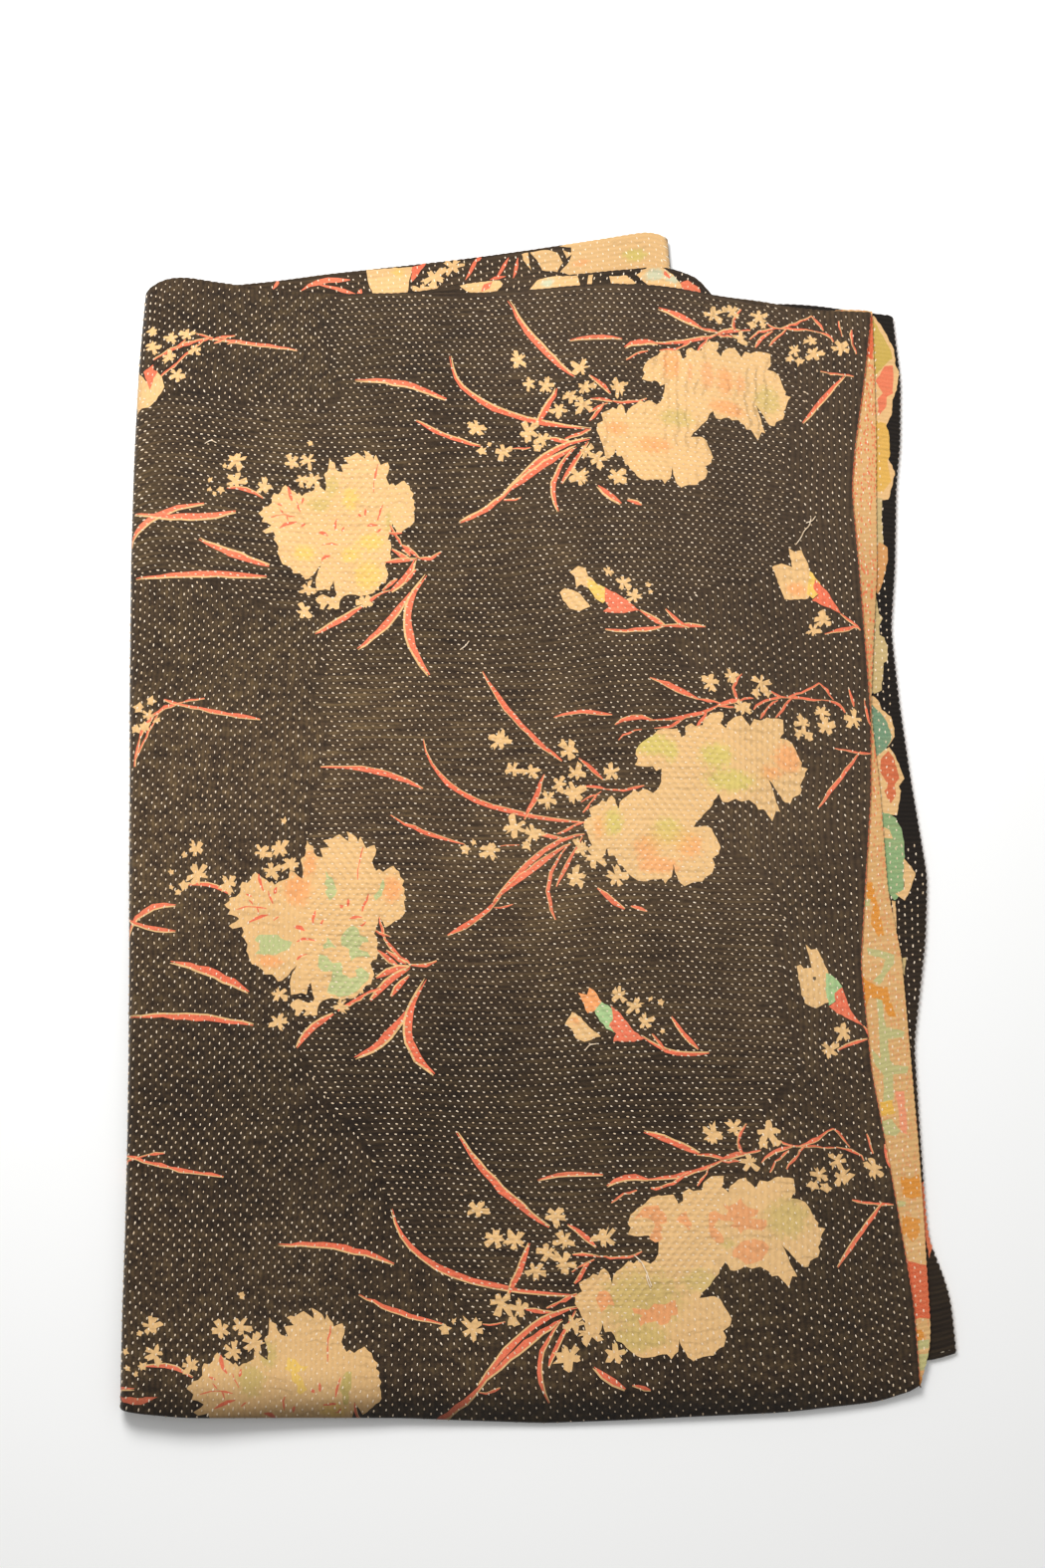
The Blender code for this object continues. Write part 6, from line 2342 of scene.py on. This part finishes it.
    def height(self, at: ClothFlows, wrinkle: Flow, dash: Flow) -> Flow:
        """Add up the weave, the rows, the puff between the stitches, and small creases.

        Args:
            at: what is read on the cloth.
            wrinkle: 1 along each wrinkle.
            dash: 1 on each drawn stitch.

        Returns:
            The height of the fine relief.
        """
        made, threads = at.made, TURN * self.thread_count
        weave = (at.u * threads).math("SINE") * (at.v * threads).math("SINE")
        puff = 0.5 - 0.5 * (at.along * TURN).math("COSINE")
        creases = made.noise(made.vector(at.u, at.v), *self.crease_noise)
        total = weave * 0.035 + at.ridge * 0.20 + puff * at.ridge * 0.12 + creases * 0.42
        return total + at.fleck * 0.10 + dash * 0.25 - wrinkle * self.wrinkle_depth

    def build(self) -> bpy.types.Material:
        """Make the material.

        Returns:
            The material.
        """
        made = NodeMaker(self.name)
        at = self.read(made)
        covered = made.attribute("ink", "Alpha")
        printed = covered > 0.5
        wrinkle, dash = self.wrinkles(at), self.dashes(at)
        shown = printed * (1.0 - made.remap(at.fleck, 0.66, 0.86) * self.worn_through)
        colour = made.blend(shown, self.ground(at), self.ink(at, covered))
        colour = made.shaded(colour, self.shade(at, printed, wrinkle))
        made.bump(self.height(at, wrinkle, dash), self.relief)
        made.feed(made.shader, {
            "Base Color": made.blend(dash, colour, self.stitch),
            "Roughness": 0.80 + at.fleck * 0.16 - dash * 0.10,
            "Sheen Weight": self.sheen,
            "Sheen Roughness": self.sheen_rough,
            "Specular IOR Level": self.gloss,
        })
        return made.material


@dataclass(frozen=True)
class CottonThread:
    """Twisted cotton thread, with painted shade where it runs round the bottom fold."""

    name: str
    colour: Colour
    shaded: Colour
    # Colour of the painted shade on the thread round the bottom fold.
    under: Colour = linear((70, 58, 46))
    twist: float = 900.0
    rolled_shade: float = 0.6
    rolled: Pair = (-0.612, -0.575)  # y between which the shade ends
    tone_noise: Noise = Noise(160.0, 2.0, 0.6)
    relief: float = 0.00008
    sheen: float = 0.15
    gloss: float = 0.3

    def build(self) -> bpy.types.Material:
        """Make the material.

        Returns:
            The material.
        """
        made = NodeMaker(self.name)
        place = made.object_place()
        x, y, z = made.parts(place)
        tone = made.noise(place, *self.tone_noise)
        strands = ((x + y + z) * (self.twist * TURN)).math("SINE")
        # Painted shade on the thread towards the bottom fold.
        rolled = (1.0 - made.remap(y, *self.rolled)) * self.rolled_shade
        thread = made.blend(made.remap(tone, 0.38, 0.66), self.shaded, self.colour)
        made.feed(made.shader, {
            "Base Color": made.blend(rolled, thread, self.under),
            "Roughness": 0.70 + tone * 0.2,
            "Sheen Weight": self.sheen,
            "Specular IOR Level": self.gloss,
        })
        made.bump(strands * 0.5 + tone, self.relief)
        return made.material


@dataclass(frozen=True)
class PlainPaint:
    """A plain matte surface for the floor."""

    name: str
    colour: Colour
    rough: float = 0.9
    gloss: float = 0.1

    def build(self) -> bpy.types.Material:
        """Make the material.

        Returns:
            The material.
        """
        made = NodeMaker(self.name)
        made.feed(made.shader, {
            "Base Color": (*self.colour, 1), "Roughness": self.rough, "Specular IOR Level": self.gloss})
        return made.material


# === Floor, light and camera ===


class Lamp(NamedTuple):
    """A square soft light: its place, the length of its sides, and its power."""

    name: str
    place: Place
    size: float
    power: float


@dataclass
class Studio:
    """A pale floor, soft light and the camera."""

    target: Vector = field(default_factory=lambda: Vector((-0.0027, 0.0064, 0.0)))
    elevation: float = 76.0
    distance: float = 2.20
    lens: float = 50.0
    sensor: float = 36.0
    floor_half: float = 6.0
    floor_drop: float = 0.0004
    floor_colour: Colour = (0.93, 0.93, 0.92)
    sky: float = 0.38
    lamps: tuple[Lamp, ...] = (Lamp("key", (-0.55, 1.05, 1.75), 1.0, 44.0), Lamp("fill", (1.2, -0.4, 2.6), 2.4, 10.0))

    def floor(self) -> None:
        """A wide floor just under the quilt."""
        places = np.array([(x * self.floor_half, y * self.floor_half, -self.floor_drop)
                           for x, y in ((-1, -1), (1, -1), (1, 1), (-1, 1))])
        floor = put_in_scene("floor", mesh_from("floor", places, np.array([(0, 1, 2), (0, 2, 3)])))
        floor.data.materials.append(PlainPaint("pale_floor", self.floor_colour).build())

    def light(self, lamp: Lamp) -> None:
        """Hang a light that looks at the quilt.

        Args:
            lamp: which one.
        """
        data = bpy.data.lights.new(lamp.name, "AREA")
        data.shape, data.size, data.energy = "SQUARE", lamp.size, lamp.power
        holder = put_in_scene(lamp.name, data)
        holder.location = lamp.place
        holder.rotation_euler = (-Vector(lamp.place)).to_track_quat("-Z", "Y").to_euler()

    def daylight(self) -> None:
        """An even white sky."""
        world = bpy.data.worlds.new("sky")
        world.use_nodes = True
        background = world.node_tree.nodes["Background"]
        background.inputs["Color"].default_value = (1, 1, 1, 1)
        background.inputs["Strength"].default_value = self.sky
        bpy.context.scene.world = world

    def camera(self) -> None:
        """Look at the quilt from above its bottom edge, at the angle at which it is shown."""
        lens = bpy.data.cameras.new("camera")
        lens.lens, lens.sensor_width, lens.sensor_fit = self.lens, self.sensor, "AUTO"
        holder = put_in_scene("camera", lens)
        raised = math.radians(self.elevation)
        away = Vector((0, -math.cos(raised), math.sin(raised)))
        holder.location = self.target + self.distance * away
        holder.rotation_euler = (-away).to_track_quat("-Z", "Y").to_euler()
        bpy.context.scene.camera = holder

    def build(self) -> None:
        """Set up the whole studio: a key light from the upper left, a fill and the sky."""
        self.floor()
        for lamp in self.lamps:
            self.light(lamp)
        self.daylight()
        self.camera()
        bpy.context.scene.view_settings.view_transform = "Standard"


# === Putting the quilt together ===

DARK_COTTON = PrintedCotton(
    "dark_printed_cotton", linear((43, 31, 21)), linear((71, 55, 38)), linear((101, 81, 53)), linear((82, 65, 49)),
    inner_shade=0.9, tones_and_shade=DARK_TONES_AND_SHADE)
PALE_COTTON = PrintedCotton(
    "pale_printed_cotton", linear((204, 158, 98)), linear((218, 174, 114)), linear((232, 192, 134)),
    linear((220, 170, 112)), dots=linear((226, 112, 74)), inner_shade=0.0, trough_shade=0.08, wrinkle_shade=0.08,
    wrinkle_depth=0.10, tones_and_shade=PALE_TONES_AND_SHADE)
CREAM_THREAD = CottonThread("cream_thread", linear((255, 236, 210)), linear((226, 198, 162)))
CORAL_THREAD = CottonThread("coral_thread", linear((236, 122, 82)), linear((214, 98, 64)))

# Where the strips beside the top layer have stitches of their own.
SEWN_DARK = (
    Box(Panel.SECOND, Leaf.FAR, 0.335, 0.362, -0.060, 0.510), Box(Panel.SECOND, Leaf.FAR, 0.335, 0.392, -0.300, -0.060),
    Box(Panel.SECOND, Leaf.FAR, -0.08, 0.19, 0.535, 0.575), Box(Panel.THIRD, Leaf.NEAR, -0.30, 0.136, 0.545, 0.615),
)
SEWN_PALE = (Box(Panel.FIRST, Leaf.FAR, 0.322, 0.380, -0.585, 0.510),)


@dataclass
class KanthaQuilt:
    """The folded quilt: its two cloths, the stitches through them, and its threads."""

    flat_size: Pair = (2.75, 2.30)
    probe_offset: float = 0.001

    def dress(self, piece: bpy.types.Object, finish: bpy.types.Material, slot: str) -> None:
        """Give a piece its finish, and let it ride on the quilt's one body.

        Args:
            piece: the piece.
            finish: its material.
            slot: the node that it stands for or lies on; not used.
        """
        piece.data.materials.clear()
        piece.data.materials.append(finish)
        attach(piece, "root")
        LOG.info("%s: %d triangles", piece.name, len(piece.data.polygons))

    def build(self) -> None:
        """Build every piece."""
        stack = FoldedStack(StackSizes())
        front = ClothSheet("front_cotton", stack, 1, front_print(stack))
        back = ClothSheet("back_cotton", stack, -1, back_print(stack))
        self.centre(stack, front)
        cream, coral = CREAM_THREAD.build(), CORAL_THREAD.build()
        for cloth, finish, node in ((front, DARK_COTTON, "front_cloth"), (back, PALE_COTTON, "back_cloth")):
            piece = cloth.build()
            self.dress(piece, finish.build(), node)
            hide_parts(node)
        sewn = [RunningStitches("running_stitches", front).build(cream),
                EdgeStitches("edge_stitches", front, boxes=SEWN_DARK).build(cream)]
        under = [EdgeStitches("pale_edge_stitches", back, boxes=SEWN_PALE).build(cream)]
        threads = [HemThread(front).build(), *LooseThreads(front).build()]
        for piece in (*sewn, *under, *threads):
            self.dress(piece, coral if piece.name == "hem_thread" else cream, "front_cloth")

    def centre(self, stack: FoldedStack, cloth: ClothSheet) -> None:
        """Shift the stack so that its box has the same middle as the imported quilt's.

        Args:
            stack: the folded quilt.
            cloth: the cloth by whose edges and folds the box is measured.
        """
        edges = [stack.place(cloth.outline(), offset) for offset in (-self.probe_offset, self.probe_offset)]
        own = np.vstack([*edges, *(stack.place(line, cloth.offset) for line in cloth.fold_lines())])
        low, high = (np.array(corner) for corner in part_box("front_cloth"))
        shift = (low + high) / 2 - (own.min(axis=0) + own.max(axis=0)) / 2
        stack.shift = np.array((shift[0], shift[1], 0.0))
        LOG.info("shift %s, box %s to %s", stack.shift, own.min(axis=0), own.max(axis=0))


def main() -> None:
    """Build the quilt in its studio."""
    logging.basicConfig(level=logging.INFO, format="%(message)s")
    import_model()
    Studio().build()
    KanthaQuilt().build()


if __name__ == "__main__":
    main()
